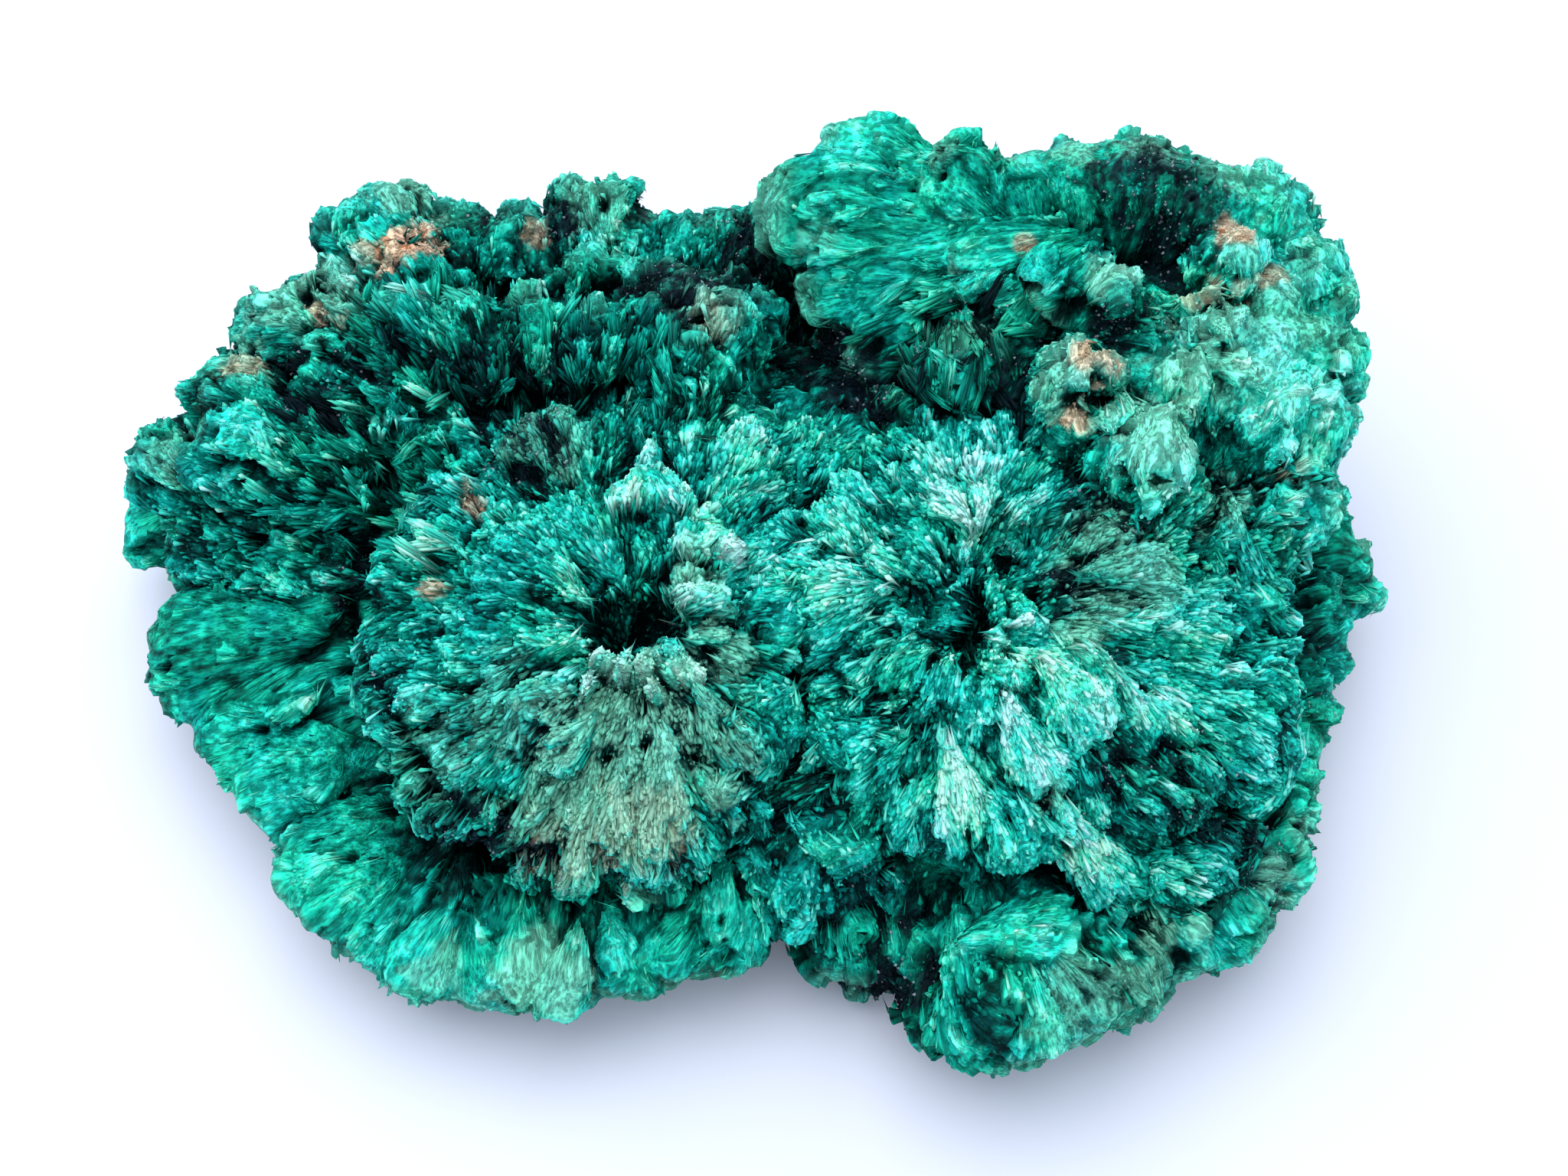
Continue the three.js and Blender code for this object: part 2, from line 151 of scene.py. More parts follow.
# %% The petals at the back left
BACK_PETALS = [
    [(-26, 2, 11), (-42, 7.5, 10), 9, 6],
    [(-26, 0.5, 12), (-36.5, 3.5, 11), 6.5, 5],
    [(-24, 5, 13), (-38.5, 9.5, 19), 9.5, 8],
    [(-28, 5, 10), (-43, 10.5, 14), 8.5, 8],
    [(-26, 8, 12), (-39.5, 13.5, 18), 7.5, 7],
    [(-24, 10, 12), (-35.5, 18.5, 20), 7.5, 7],
    [(-23, 12, 12), (-32.5, 21.5, 20), 7, 7],
    [(-20, 14, 10), (-28.6, 27.3, 21), 10, 8],
    [(-20, 12, 12), (-25.5, 21.5, 22), 7, 5],
    [(-21, 8, 13), (-31, 15, 21), 5, 5],
    [(-19.5, 9, 13), (-26, 17.5, 21.5), 6, 5],
    [(-17, 10, 13), (-20.5, 18.5, 21.5), 6, 5],
    [(-14.5, 10.5, 13), (-15.5, 18.5, 21), 5.5, 5],
    [(-11.5, 10.5, 13), (-11.5, 18, 21), 5.5, 5],
    [(-20, 20, 8), (-22.3, 28.2, 19.5), 8, 7],
    [(-17, 20, 8), (-17.3, 27.6, 19.5), 8, 7],
    [(-11, 16, 10), (-12, 24, 18.5), 8.5, 6],
    [(-11, 20, 6), (-12.3, 31.2, 18.5), 8.5, 8],
    [(-8, 20, 6), (-8.2, 30.2, 17), 7, 6],
    [(-3, 19, 6), (-2.8, 29, 18), 9, 8],
    [(1, 18, 8), (1.2, 28, 18), 6.5, 6],
    [(-5, 12, 10), (-3.5, 19, 22.5), 13, 10],
    [(-5, 8, 12), (-3.2, 15, 22), 8, 7],
]
print("petals at the back left:", len(BACK_PETALS))

# %% The fans and columns at the top right
STREAMING_FANS = [
    [(22, 23, 21), (0.8, 24, 24.3), 9.5, 9],
    [(20, 23, 21), (4.4, 28.2, 25), 9, 8],
    [(21, 22, 20), (12.2, 26.6, 26), 8, 8],
    [(21, 22, 20), (18, 26.8, 26.2), 7, 8],
    [(24, 22, 18), (22.8, 27.2, 27.2), 7.5, 8],
    [(26, 21, 18), (28, 26.8, 27.8), 8.5, 8.5],
    [(28, 20, 18), (33.3, 24.8, 27.2), 7.5, 8],
    [(25, 23, 24), (3, 20, 20.5), 9, 7],
    [(25, 22.5, 24), (6, 16, 18.5), 9, 7],
    [(25, 22, 24), (11, 13, 18), 9, 7],
    [(25, 22, 24), (13.5, 18.8, 22.8), 7.5, 6],
    [(25, 21.5, 24), (19.5, 16.5, 23), 7.5, 6],
    [(16, 9, 12), (15.5, 14.6, 22.6), 8.5, 8],
]
COLUMNS = [
    [(25, 14, 14), (25, 16.6, 26), 5, 5],
    [(22, 6, 12), (22.6, 9.7, 26), 7, 7],
    [(25.5, 2, 12), (27, 5, 24), 8, 7],
    [(28.5, 8, 12), (29, 10, 25), 5, 5],
    [(31, 12, 12), (31.8, 13.5, 26.5), 6.5, 6],
    [(33, 8, 12), (33.2, 10.5, 25), 5, 5],
    [(35, 11, 12), (35.5, 13, 25.5), 5, 5],
    [(32, 17, 14), (33.6, 19.5, 27), 6.5, 6],
    [(35, 15, 12), (36.2, 16.5, 26), 5.5, 5],
    [(37, 16, 12), (38.2, 18.5, 25.5), 5.5, 5],
    [(33, 18, 10), (36.8, 25, 26.5), 8, 8],
    [(33, 16, 8), (39.2, 22, 24.5), 8.5, 8],
    [(33, 14, 8), (40.6, 18, 24), 7, 6],
    [(33, 12, 8), (40.2, 14, 24), 8, 7],
    [(32, 8, 8), (39.9, 9.5, 23), 8.5, 7],
    [(32, 4, 8), (39.6, 5.5, 19), 8.5, 7],
    [(32, 6, 10), (36.6, 9.5, 24), 7, 7],
]
print("fans and columns at the top right:", len(STREAMING_FANS) + len(COLUMNS))

# %% The outer lobes and the feathers
OUTER_LOBES = [
    [(33, 8, 8), (43.2, 10.5, 8.5), 8.5, 7],
    [(33, 3, 8), (44.4, 5.8, 7), 11, 7],
    [(33, -2, 8), (42.4, -0.6, 8), 8.5, 7],
    [(32, -6, 8), (40.9, -6.8, 7), 8.5, 7],
    [(30, -9, 8), (39.4, -11.7, 6.5), 8.5, 7],
    [(27, -13, 9), (37.7, -17.2, 6), 9, 7],
    [(26, -14, 9), (36.2, -21.2, 6), 9, 7],
    [(26, -15, 9), (33.5, -25, 6), 8, 7],
    [(24, -16, 9), (29.8, -26.5, 6), 7, 6],
    [(20, -20, 9), (26.3, -29.3, 6.5), 7, 7],
    [(15, -18, 10), (21, -31.6, 6.5), 15, 9],
    [(13, -20, 8), (15, -30.6, 5), 9, 6],
    [(8, -17, 6), (7.2, -26.3, 4.5), 8, 6],
]
FEATHERS = [
    [(-7, -10.5, 19.5), (-8.8, -22, 14), 17, 5],
    [(30, 3, 16), (36.8, 2, 15), 8, 7],
    [(28, -2, 16.5), (35.2, -3.2, 14.5), 8, 6],
    [(25, 2, 18), (31, 2.5, 18), 7, 6],
    [(20, 0.5, 18), (25.5, 2.2, 19), 6.5, 5],
    [(17.5, 0, 17.5), (20, 5.2, 19), 6, 5],
    [(12, 0.5, 17), (11.5, 6, 17.5), 7, 5],
    [(-1.5, 4, 14), (0.5, 10.5, 19), 8, 7],
    [(4, 2, 14), (5.5, 8, 17.5), 7, 6],
    [(12.4, -12.5, 17.5), (13.2, -20, 13), 7, 4],
    [(16.5, -11.5, 18), (19.2, -16.5, 15), 5, 3.5],
    [(19.7, -9, 18.5), (27.5, -13.3, 15), 7, 3.5],
    [(20.5, -12.3, 16), (24.4, -17.5, 13), 7, 3.5],
    [(20.3, -16.5, 13.5), (23.9, -22.5, 11), 6, 3.5],
    [(31, -7.7, 15), (36.8, -7.4, 13.5), 8.5, 5],
    [(29.7, -11.2, 14), (36, -13.6, 12), 7.5, 5],
    [(24, -15, 10), (30.5, -22, 9), 8.5, 6],
]
print("lobes and feathers:", len(OUTER_LOBES) + len(FEATHERS))

# %% [markdown]
# The two rosettes are like flowers seen from above: small fans in rings round a pit. They follow a rule, so
# they are worked out rather than listed.

# %% The rosettes' rings of small fans
LEFT_ROSETTE = dict(centre=(-7.1, -8), reach=(9, 18.5, 18.5, 14.5), rim=(17.5, 19, 16.5, 13.5), lip=20.5)
RIGHT_ROSETTE = dict(centre=(14.6, -5.6), reach=(22, 14, 10, 15), rim=(15, 19, 17, 12), lip=19.5)
SHINGLES = [
    dict(count=8, start=0.2, end=0.6, width=6.6, thickness=3.8),
    dict(count=12, start=0.52, end=1.02, width=8, thickness=4.6),
]
ROSETTE_CURVE = 1.6
RING_SEEDS = 31
RING_STAGGER = 0.5
TURN_SCATTER = 0.5
SWAY_SCATTER = 0.16
START_SCATTER = 0.06
END_SCATTER = 0.1
ROOT_SINK = 0.9
TIP_RISE = 0.2
TIP_RISE_SPREAD = 0.9
NARROWEST = 0.85
WIDTH_SPREAD = 0.4


def around_four(four, turn):
    right, back, left, front = four
    x = np.cos(turn)
    y = np.sin(turn)
    return np.where(x > 0, right, left) * x * x + np.where(y > 0, back, front) * y * y


def on_rosette(rosette, share, turn):
    outward = around_four(rosette["reach"], turn) * share
    fall = rosette["lip"] - around_four(rosette["rim"], turn)
    x = rosette["centre"][0] + outward * np.cos(turn)
    y = rosette["centre"][1] + outward * np.sin(turn)
    return np.array([x, y, rosette["lip"] - fall * share**ROSETTE_CURVE])


def off_centre(n, spread):
    return spread * (chance(n) - 0.5)


def shingles(rosette, seed):
    sheaves = []
    for ring, kind in enumerate(SHINGLES):
        for i in range(kind["count"]):
            n = seed + RING_SEEDS * ring + i
            turn = (i + RING_STAGGER * ring + off_centre(n, TURN_SCATTER)) / kind["count"] * math.tau
            sway = off_centre(n + 5, SWAY_SCATTER)
            root = on_rosette(rosette, kind["start"] + off_centre(n + 7, START_SCATTER), turn)
            tip = on_rosette(rosette, kind["end"] + off_centre(n + 9, END_SCATTER), turn + sway)
            root[2] -= ROOT_SINK
            tip[2] += TIP_RISE + TIP_RISE_SPREAD * chance(n + 13)
            width = kind["width"] * (NARROWEST + WIDTH_SPREAD * chance(n + 3))
            sheaves.append([tuple(root), tuple(tip), width, kind["thickness"]])
    return sheaves


LEFT_SHINGLES = shingles(LEFT_ROSETTE, seed=1000)
RIGHT_SHINGLES = shingles(RIGHT_ROSETTE, seed=2000)
print("small fans on the rosettes:", len(LEFT_SHINGLES) + len(RIGHT_SHINGLES))

# %% [markdown]
# Each family of sheaves has its own habit, as three shares: how silky it is, with fibres lying close; how
# feathery, with small fans standing apart; and how bright its fresh green is. They only set the mood of a
# region, and chance does the rest.

# %% Habits of the families
HABITS = [
    (SKIRT, 1.0, 0.05, 0.1),
    (SKIRT_END, 0.2, 0.78, 0.25),
    (BACK_PETALS, 0.3, 0.6, 0.0),
    (STREAMING_FANS, 0.95, 0.12, 0.45),
    (COLUMNS, 0.5, 0.35, 0.65),
    (OUTER_LOBES, 0.9, 0.15, 0.15),
    (FEATHERS, 0.05, 1.0, 0.55),
    (LEFT_SHINGLES, 0.05, 1.0, 0.05),
    (RIGHT_SHINGLES, 0.05, 1.0, 0.4),
]
NEARLY_UPRIGHT = 0.9

rows = [row for family, *_ in HABITS for row in family]
roots = np.array([row[0] for row in rows], float)
tips = np.array([row[1] for row in rows], float)
half_widths = np.array([row[2] for row in rows]) / 2
half_depths = np.array([row[3] for row in rows]) / 2
habits = np.array([habit for family, *habit in HABITS for _ in family])
lengths = np.linalg.norm(tips - roots, axis=1)
aims = (tips - roots) / lengths[:, None]
uprights = np.where(np.abs(aims[:, 2:]) > NEARLY_UPRIGHT, [[0, 1, 0]], [[0, 0, 1]])
sides = unit(np.cross(aims, uprights))
ups = np.cross(sides, aims)
print("sheaves in all:", len(rows))

# %% [markdown]
# The solid has flat facets. A fine skin over it is made by the Remesh modifier, which wraps the shape in an
# even grid of small faces, and a smoothing pass rounds the facets off. The grid is a quarter of a
# millimetre, which is fine enough to carry the edges of small fans.

# %% A fine skin over the solid
SKIN_GRID = 0.25
SMOOTHING_ROUNDS = 14
SMOOTHING_SHARE = 0.5
WELD_DISTANCE = 1e-6


def add_object(name, data):
    thing = bpy.data.objects.new(name, data)
    bpy.context.scene.collection.objects.link(thing)
    return thing


def finished_mesh(thing):
    bpy.context.view_layer.update()
    evaluated = thing.evaluated_get(bpy.context.evaluated_depsgraph_get())
    return bpy.data.meshes.new_from_object(evaluated)


def fine_skin():
    welded = bmesh.new()
    welded.from_mesh(solid.data)
    bmesh.ops.remove_doubles(welded, verts=welded.verts, dist=WELD_DISTANCE)
    mesh = bpy.data.meshes.new("malachite_skin")
    welded.to_mesh(mesh)
    welded.free()
    thing = add_object("malachite_skin", mesh)
    remesh = thing.modifiers.new("even_grid", "REMESH")
    remesh.mode = "VOXEL"
    remesh.voxel_size = SKIN_GRID * MM
    rounding = thing.modifiers.new("rounding", "SMOOTH")
    rounding.factor = SMOOTHING_SHARE
    rounding.iterations = SMOOTHING_ROUNDS
    skin_mesh = finished_mesh(thing)
    bpy.data.objects.remove(thing)
    return skin_mesh


skin = fine_skin()
print("the skin has", len(skin.vertices), "points and", len(skin.polygons), "faces")

# %% Its points, normals and edges as arrays
def read_mesh(items, name, kind, width):
    flat = np.empty(len(items) * width, kind)
    items.foreach_get(name, flat)
    return flat.reshape(-1, width)


def points_of(mesh):
    return read_mesh(mesh.vertices, "co", np.float32, 3) / MM + ORIGIN


def normals_of(mesh):
    return read_mesh(mesh.vertices, "normal", np.float32, 3).astype(float)


def move_points(mesh, at):
    mesh.vertices.foreach_set("co", ((at - ORIGIN) * MM).ravel())
    mesh.update()


smooth_points = points_of(skin)
normals = normals_of(skin)
edges = read_mesh(skin.edges, "vertices", np.int32, 2)
print("the skin reaches from", smooth_points.min(0).round(1), "to", smooth_points.max(0).round(1))

# %% [markdown]
# For each point of the skin, the nearest sheaf is the one whose own surface passes closest. The point's
# growth direction leads from that sheaf's root to the point, its travel is how far that is, and its reach
# says how far along the sheaf it lies. Where no sheaf is near, the rosettes and the foot decide.

# %% Which way each point grew
ALONG = np.array([0, 0.42, 0.76, 0.93, 1])
SPREAD = np.array([0.05, 0.66, 1, 0.74, 0.05])
BEHIND_ROOT = 0.15
PAST_END_WEIGHT = 1.5
ROSETTE_GAP = 1.1
ROSETTE_EDGE = 1.05
ROSETTE_LOWEST = 12
ROSETTE_START = 5
ROSETTE_HABIT = [0.05, 1.0, 0.3]
FOOT_GAP = 2.2
FOOT_MIDDLE = np.array([0, 0, 2.0])
FOOT_REACH = 0.6
FOOT_HABIT = [0.4, 0.3, 0.2]
BREAK_FADE = (0.3, 2.5)


def growth(at):
    nearest = np.full(len(at), FOOT_GAP)
    start = np.tile(FOOT_MIDDLE, (len(at), 1))
    reach = np.full(len(at), FOOT_REACH)
    habit = np.tile(FOOT_HABIT, (len(at), 1))
    for rosette in (LEFT_ROSETTE, RIGHT_ROSETTE):
        flat = at[:, :2] - rosette["centre"]
        turn = np.arctan2(flat[:, 1], flat[:, 0])
        share = np.linalg.norm(flat, axis=1) / around_four(rosette["reach"], turn)
        inside = (share < ROSETTE_EDGE) & (at[:, 2] > ROSETTE_LOWEST) & (nearest > ROSETTE_GAP)
        start[inside] = (*rosette["centre"], rosette["lip"] - ROSETTE_START)
        reach[inside] = share[inside]
        habit[inside] = ROSETTE_HABIT
        nearest[inside] = ROSETTE_GAP
    for i in range(len(rows)):
        from_root = at - roots[i]
        along = from_root @ aims[i] / lengths[i]
        spread = np.interp(along, ALONG, SPREAD)
        across = np.hypot(from_root @ sides[i] / half_widths[i], from_root @ ups[i] / half_depths[i])
        past_end = np.maximum(0, np.maximum(-along, along - 1)) * lengths[i]
        gap = np.abs(across - spread) * half_depths[i] + past_end * PAST_END_WEIGHT
        closer = gap < nearest
        nearest[closer] = gap[closer]
        start[closer] = roots[i] - BEHIND_ROOT * lengths[i] * aims[i]
        reach[closer] = np.clip(along[closer], 0, 1)
        habit[closer] = habits[i]
    return at - start, reach, habit


grown, reach, habit = growth(smooth_points)
way = unit(grown)
travel = np.linalg.norm(grown, axis=1)
above_break = step_up(smooth_points[:, 2], *BREAK_FADE)
print("mean reach of the skin's points:", round(float(reach.mean()), 2))

# %% [markdown]
# The solid gives the rosettes thick petals. Here they are only the ground that finer fans will stand on, so
# the skin is calmed there: each point moves to the mean of its neighbours, many times over. The pits in the
# middle of the rosettes keep their depth.

# %% Calming the rosettes
CALM_ROUNDS = 60
CALM_BLUR = 8
CALM_HABIT = (0.9, 1.0)
CALM_ELSEWHERE = 0.15
PIT_REACH = (3.0, 5.0)


def neighbour_mean(values, rounds):
    first, second = edges.T
    count = np.bincount(edges.ravel(), minlength=len(values))
    for _ in range(rounds):
        from_second = np.bincount(first, values[second], len(values))
        from_first = np.bincount(second, values[first], len(values))
        values = (from_second + from_first) / count
    return values


def calm_share():
    share = step_up(habit[:, 1], *CALM_HABIT)
    for rosette in (LEFT_ROSETTE, RIGHT_ROSETTE):
        from_pit = np.linalg.norm(smooth_points[:, :2] - rosette["centre"], axis=1)
        share = share * step_up(from_pit, *PIT_REACH)
    return neighbour_mean(np.maximum(share, CALM_ELSEWHERE), CALM_BLUR) * above_break


calmed = np.stack([neighbour_mean(smooth_points[:, i], CALM_ROUNDS) for i in range(3)], 1)
smooth_points = blend(smooth_points, calmed, calm_share())
move_points(skin, smooth_points)
normals = normals_of(skin)
print("the skin is calm from", smooth_points.min(0).round(1), "to", smooth_points.max(0).round(1))

# %% [markdown]
# Some things have to sit where the real specimen has them: its largest fans, its crevices, its dusty tops.
# The simplest way to say where is to point at a picture of it. So each such place is a pixel of a picture
# 2048 pixels wide, and a ray through that pixel finds the place on the skin. The picture was taken from the
# front, sixty degrees up, and the camera at the end of the lesson stands there too.

# %% Pointing at a place in a picture
PICTURE = (2048, 1536)
PIXELS_PER_MM = 17.8
VIEW_FROM = np.array([2.4, -76.0, 143.6])
VIEW_TILT = math.radians(30)
VIEW_LENS = 50.0
VIEW_SENSOR = 36.0

lens_pixels = PICTURE[0] * VIEW_LENS / VIEW_SENSOR
view_up = np.array([0, math.cos(VIEW_TILT), math.sin(VIEW_TILT)])
view_back = np.array([0, -math.sin(VIEW_TILT), math.cos(VIEW_TILT)])


def tree_of(mesh):
    vertices = read_mesh(mesh.vertices, "co", np.float32, 3).tolist()
    faces = read_mesh(mesh.loops, "vertex_index", np.int32, 4).tolist()
    return BVHTree.FromPolygons(vertices, faces)


calm_tree = tree_of(skin)


def on_skin(x, y):
    """The place on the calm skin, in millimetres, that a pixel of the picture shows."""
    right = np.array([(x - PICTURE[0] / 2) / lens_pixels, 0, 0])
    aim = unit(right + view_up * (PICTURE[1] / 2 - y) / lens_pixels - view_back)
    hit = calm_tree.ray_cast(((VIEW_FROM - ORIGIN) * MM).tolist(), aim.tolist())[0]
    if hit is None:
        raise ValueError(f"pixel {x}, {y} misses the skin")
    return np.array(hit) / MM + ORIGIN


print("the middle of the picture shows", on_skin(1024, 768).round(1))

# %% [markdown]
# The largest fans come first, because they give the specimen its face. Each row says: the pixel of the
# apex, the pixel of the middle of the front, half the opening in radians, how high it stands in millimetres,
# and how much lighter than its neighbours it is.

# %% The largest fans round the left pit
LEFT_PIT_FANS = [
    (775, 788, 627, 699, 0.45, 1.3, 1.2),
    (777, 848, 583, 841, 0.36, 1.2, 1.0),
    (819, 770, 757, 680, 0.4, 1.2, 1.2),
    (864, 752, 855, 690, 0.6, 0.9, 0.6),
    (895, 799, 902, 745, 1.0, 1.0, 2.2),
    (897, 837, 990, 852, 0.5, 1.1, 2.0),
    (828, 877, 806, 1115, 0.56, 2.3, 6.0),
    (900, 890, 975, 1000, 0.4, 1.2, 0.8),
    (766, 880, 592, 1008, 0.34, 1.0, 0.3),
    (764, 905, 538, 960, 0.25, 1.0, 0.6),
    (926, 690, 1007, 582, 0.5, 1.2, 1.8),
    (925, 720, 830, 640, 0.4, 0.9, 0.6),
    (624, 560, 535, 550, 0.5, 1.2, 0.0),
    (605, 649, 492, 644, 0.5, 1.2, 0.2),
    (600, 790, 480, 780, 0.5, 1.0, 0.2),
    (614, 900, 520, 950, 0.5, 1.0, 0.2),
    (985, 640, 1130, 575, 0.4, 0.9, 0.8),
]
print("fans round the left pit:", len(LEFT_PIT_FANS))

# %% The largest fans round the right pit
RIGHT_PIT_FANS = [
    (1172, 768, 990, 812, 0.5, 1.4, 1.3),
    (1172, 760, 1075, 672, 0.4, 1.2, 1.5),
    (1270, 694, 1182, 604, 0.5, 1.3, 1.6),
    (1272, 692, 1290, 588, 0.45, 1.3, 2.0),
    (1160, 840, 1060, 930, 0.4, 1.0, 0.4),
    (1187, 944, 1140, 1090, 0.35, 1.2, 0.4),
    (1230, 945, 1262, 1095, 0.3, 1.6, 2.4),
    (1212, 850, 1160, 905, 0.5, 0.9, 0.3),
    (1245, 850, 1215, 925, 0.4, 1.0, 0.5),
    (1305, 908, 1375, 1030, 0.4, 1.7, 2.4),
    (1290, 838, 1335, 895, 0.5, 1.1, 1.3),
    (1359, 862, 1440, 960, 0.42, 1.5, 2.4),
    (1400, 845, 1545, 960, 0.26, 1.5, 2.2),
    (1477, 808, 1607, 812, 0.45, 1.2, 1.7),
    (1366, 1038, 1456, 1156, 0.26, 1.5, 2.4),
    (1290, 1010, 1330, 1120, 0.4, 1.2, 1.4),
    (1584, 868, 1690, 850, 0.6, 1.4, 0.0),
    (1406, 758, 1552, 748, 0.5, 1.5, 0.4),
    (1440, 745, 1500, 670, 0.4, 1.2, 0.6),
    (1593, 650, 1612, 760, 0.36, 1.5, 0.6),
    (1500, 655, 1455, 700, 0.5, 1.2, 0.2),
    (1553, 975, 1674, 1049, 0.32, 1.2, 0.6),
    (1500, 1010, 1600, 1085, 0.4, 0.9, -0.8),
    (1590, 1160, 1690, 1100, 0.7, 1.0, 0.6),
    (1234, 1252, 1400, 1205, 0.4, 0.8, 0.4),
    (1112, 950, 1050, 1075, 0.42, 1.6, 3.0),
    (1100, 1060, 1075, 1150, 0.5, 1.2, 2.0),
    (1010, 1030, 1030, 1110, 0.6, 1.0, 1.6),
]
print("fans round the right pit:", len(RIGHT_PIT_FANS))

# %% The largest fans at the back
BACK_FANS = [
    (584, 522, 462, 458, 0.12, 1.2, 1.0),
    (602, 506, 512, 388, 0.35, 1.2, 0.4),
    (646, 519, 652, 436, 0.16, 1.4, 1.4),
    (713, 510, 700, 420, 0.3, 1.2, 0.3),
    (780, 506, 800, 440, 0.3, 1.1, 0.2),
    (500, 600, 395, 545, 0.5, 0.9, -0.8),
    (365, 577, 276, 559, 0.8, 0.6, 0.8),
    (870, 470, 905, 400, 0.6, 1.0, 0.2),
    (1421, 470, 1346, 536, 0.45, 1.0, 0.4),
    (1440, 455, 1400, 420, 0.6, 0.8, 0.8),
    (1512, 533, 1503, 635, 0.5, 1.2, 0.9),
    (1260, 395, 1255, 505, 0.5, 1.1, -0.4),
    (1300, 400, 1400, 395, 0.4, 0.8, 0.4),
    (1545, 455, 1555, 540, 0.3, 0.9, 0.5),
    (1600, 395, 1560, 440, 0.5, 0.9, 0.3),
]
print("fans at the back:", len(BACK_FANS))

# %% The largest fans on the skirt and the front lobe
FRONT_FANS = [
    (453, 827, 212, 870, 0.6, 0.3, -1.0),
    (480, 930, 292, 990, 0.32, 0.35, 0.2),
    (560, 981, 368, 1070, 0.3, 0.3, 0.3),
    (575, 1076, 405, 1190, 0.42, 0.35, 0.2),
    (607, 1155, 528, 1290, 0.36, 0.3, 1.0),
    (690, 1150, 690, 1305, 0.4, 0.35, 1.2),
    (790, 1140, 810, 1270, 0.36, 0.3, 0.8),
    (900, 1140, 940, 1235, 0.36, 0.35, 0.8),
    (990, 1130, 1040, 1190, 0.4, 0.3, 0.4),
    (1215, 1268, 1330, 1345, 0.5, 0.25, -3.4),
    (1345, 1225, 1440, 1330, 0.45, 0.25, -3.0),
]
MAIN_FANS = LEFT_PIT_FANS + RIGHT_PIT_FANS + BACK_FANS + FRONT_FANS
print("largest fans in all:", len(MAIN_FANS))

# %% [markdown]
# Between the growths run deep dark crevices, and here and there a few fibres didn't meet and left a hole. A
# crevice is a list of pixels to run through, and a hole is a pixel and a length in pixels. On the smooth
# lobe at the front some later fibres lie as thin pale seams, given in the same way. A swell is a pixel, a
# radius in pixels and a height in millimetres, and lifts the ground there, or lowers it.

# %% Crevices, holes, pale seams and swells
CREVICES = [
    [(289, 608), (352, 617), (432, 644), (486, 649), (512, 604), (528, 568)],
    [(401, 443), (468, 488), (530, 532)],
    [(508, 430), (580, 488)],
    [(539, 534), (602, 532), (664, 526), (758, 528), (825, 474)],
    [(640, 372), (736, 384), (820, 380), (900, 396)],
    [(450, 778), (481, 890), (560, 1010), (635, 1118), (700, 1130)],
    [(1392, 730), (1388, 765), (1366, 806)],
    [(1464, 989), (1526, 971), (1556, 992)],
    [(1440, 850), (1465, 880), (1500, 905)],
    [(1214, 1248), (1226, 1275), (1230, 1300)],
    [(1390, 400), (1420, 398), (1455, 420)],
    [(1395, 525), (1436, 533), (1460, 510)],
    [(1060, 420), (1130, 460), (1200, 430), (1250, 400)],
    [(1498, 1308), (1525, 1285), (1543, 1250)],
    [(1680, 860), (1690, 920), (1672, 990)],
    [(1168, 778), (1200, 770), (1236, 774)],
    [(1244, 762), (1250, 800), (1242, 852)],
    [(512, 604), (490, 680), (468, 740)],
]
HOLES = [
    (671, 1060, 16), (655, 1085, 14), (717, 1128, 30), (517, 1055, 22), (553, 1034, 18), (881, 1134, 20),
    (927, 850, 14), (819, 963, 9), (461, 870, 20), (512, 870, 16), (748, 1178, 14), (553, 952, 16),
    (707, 957, 12), (1454, 1034, 20), (614, 901, 14), (338, 655, 14), (317, 630, 14), (1192, 774, 30),
    (1167, 823, 20), (1232, 725, 18), (1252, 738, 18), (1274, 736, 18), (1294, 711, 20), (1308, 682, 20),
    (1245, 703, 9), (949, 660, 10), (846, 620, 12), (1060, 620, 10), (1108, 640, 8), (1607, 748, 16),
]
PALE_SEAMS = [
    [(1226, 1275), (1262, 1352), (1336, 1380), (1410, 1356), (1462, 1334)],
    [(1300, 1290), (1341, 1311), (1410, 1352)],
    [(1345, 1270), (1400, 1300), (1455, 1345)],
    [(1240, 1262), (1300, 1230), (1370, 1218)],
]
SWELLS = [
    (1040, 840, 70, 1.8), (1035, 930, 64, 1.8), (1062, 750, 70, 1.0), (1150, 1160, 60, 1.6),
    (1105, 1110, 50, 1.2), (1600, 1100, 60, 1.2), (1540, 1170, 50, 1.0), (1425, 525, 26, -2.2),
    (1232, 800, 34, -1.6), (500, 560, 60, 0.8), (470, 800, 40, 0.8), (1180, 520, 70, 0.8),
    (1240, 560, 60, 0.6), (930, 520, 60, 0.8), (812, 802, 60, -2.0), (1045, 1000, 60, 1.6),
    (1246, 836, 26, -1.4), (1214, 784, 30, -1.4), (1042, 1050, 66, 3.6), (1066, 1112, 50, 2.0),
]
TRAIL_STEP = 4.0


def trail(line):
    """Places on the skin along a line of pixels."""
    found = []
    for (x0, y0), (x1, y1) in zip(line, line[1:]):
        count = int(math.hypot(x1 - x0, y1 - y0) / TRAIL_STEP) + 1
        found += [on_skin(x0 + (x1 - x0) * i / count, y0 + (y1 - y0) * i / count) for i in range(count)]
    return found


print("crevices", len(CREVICES), "holes", len(HOLES), "seams", len(PALE_SEAMS), "swells", len(SWELLS))
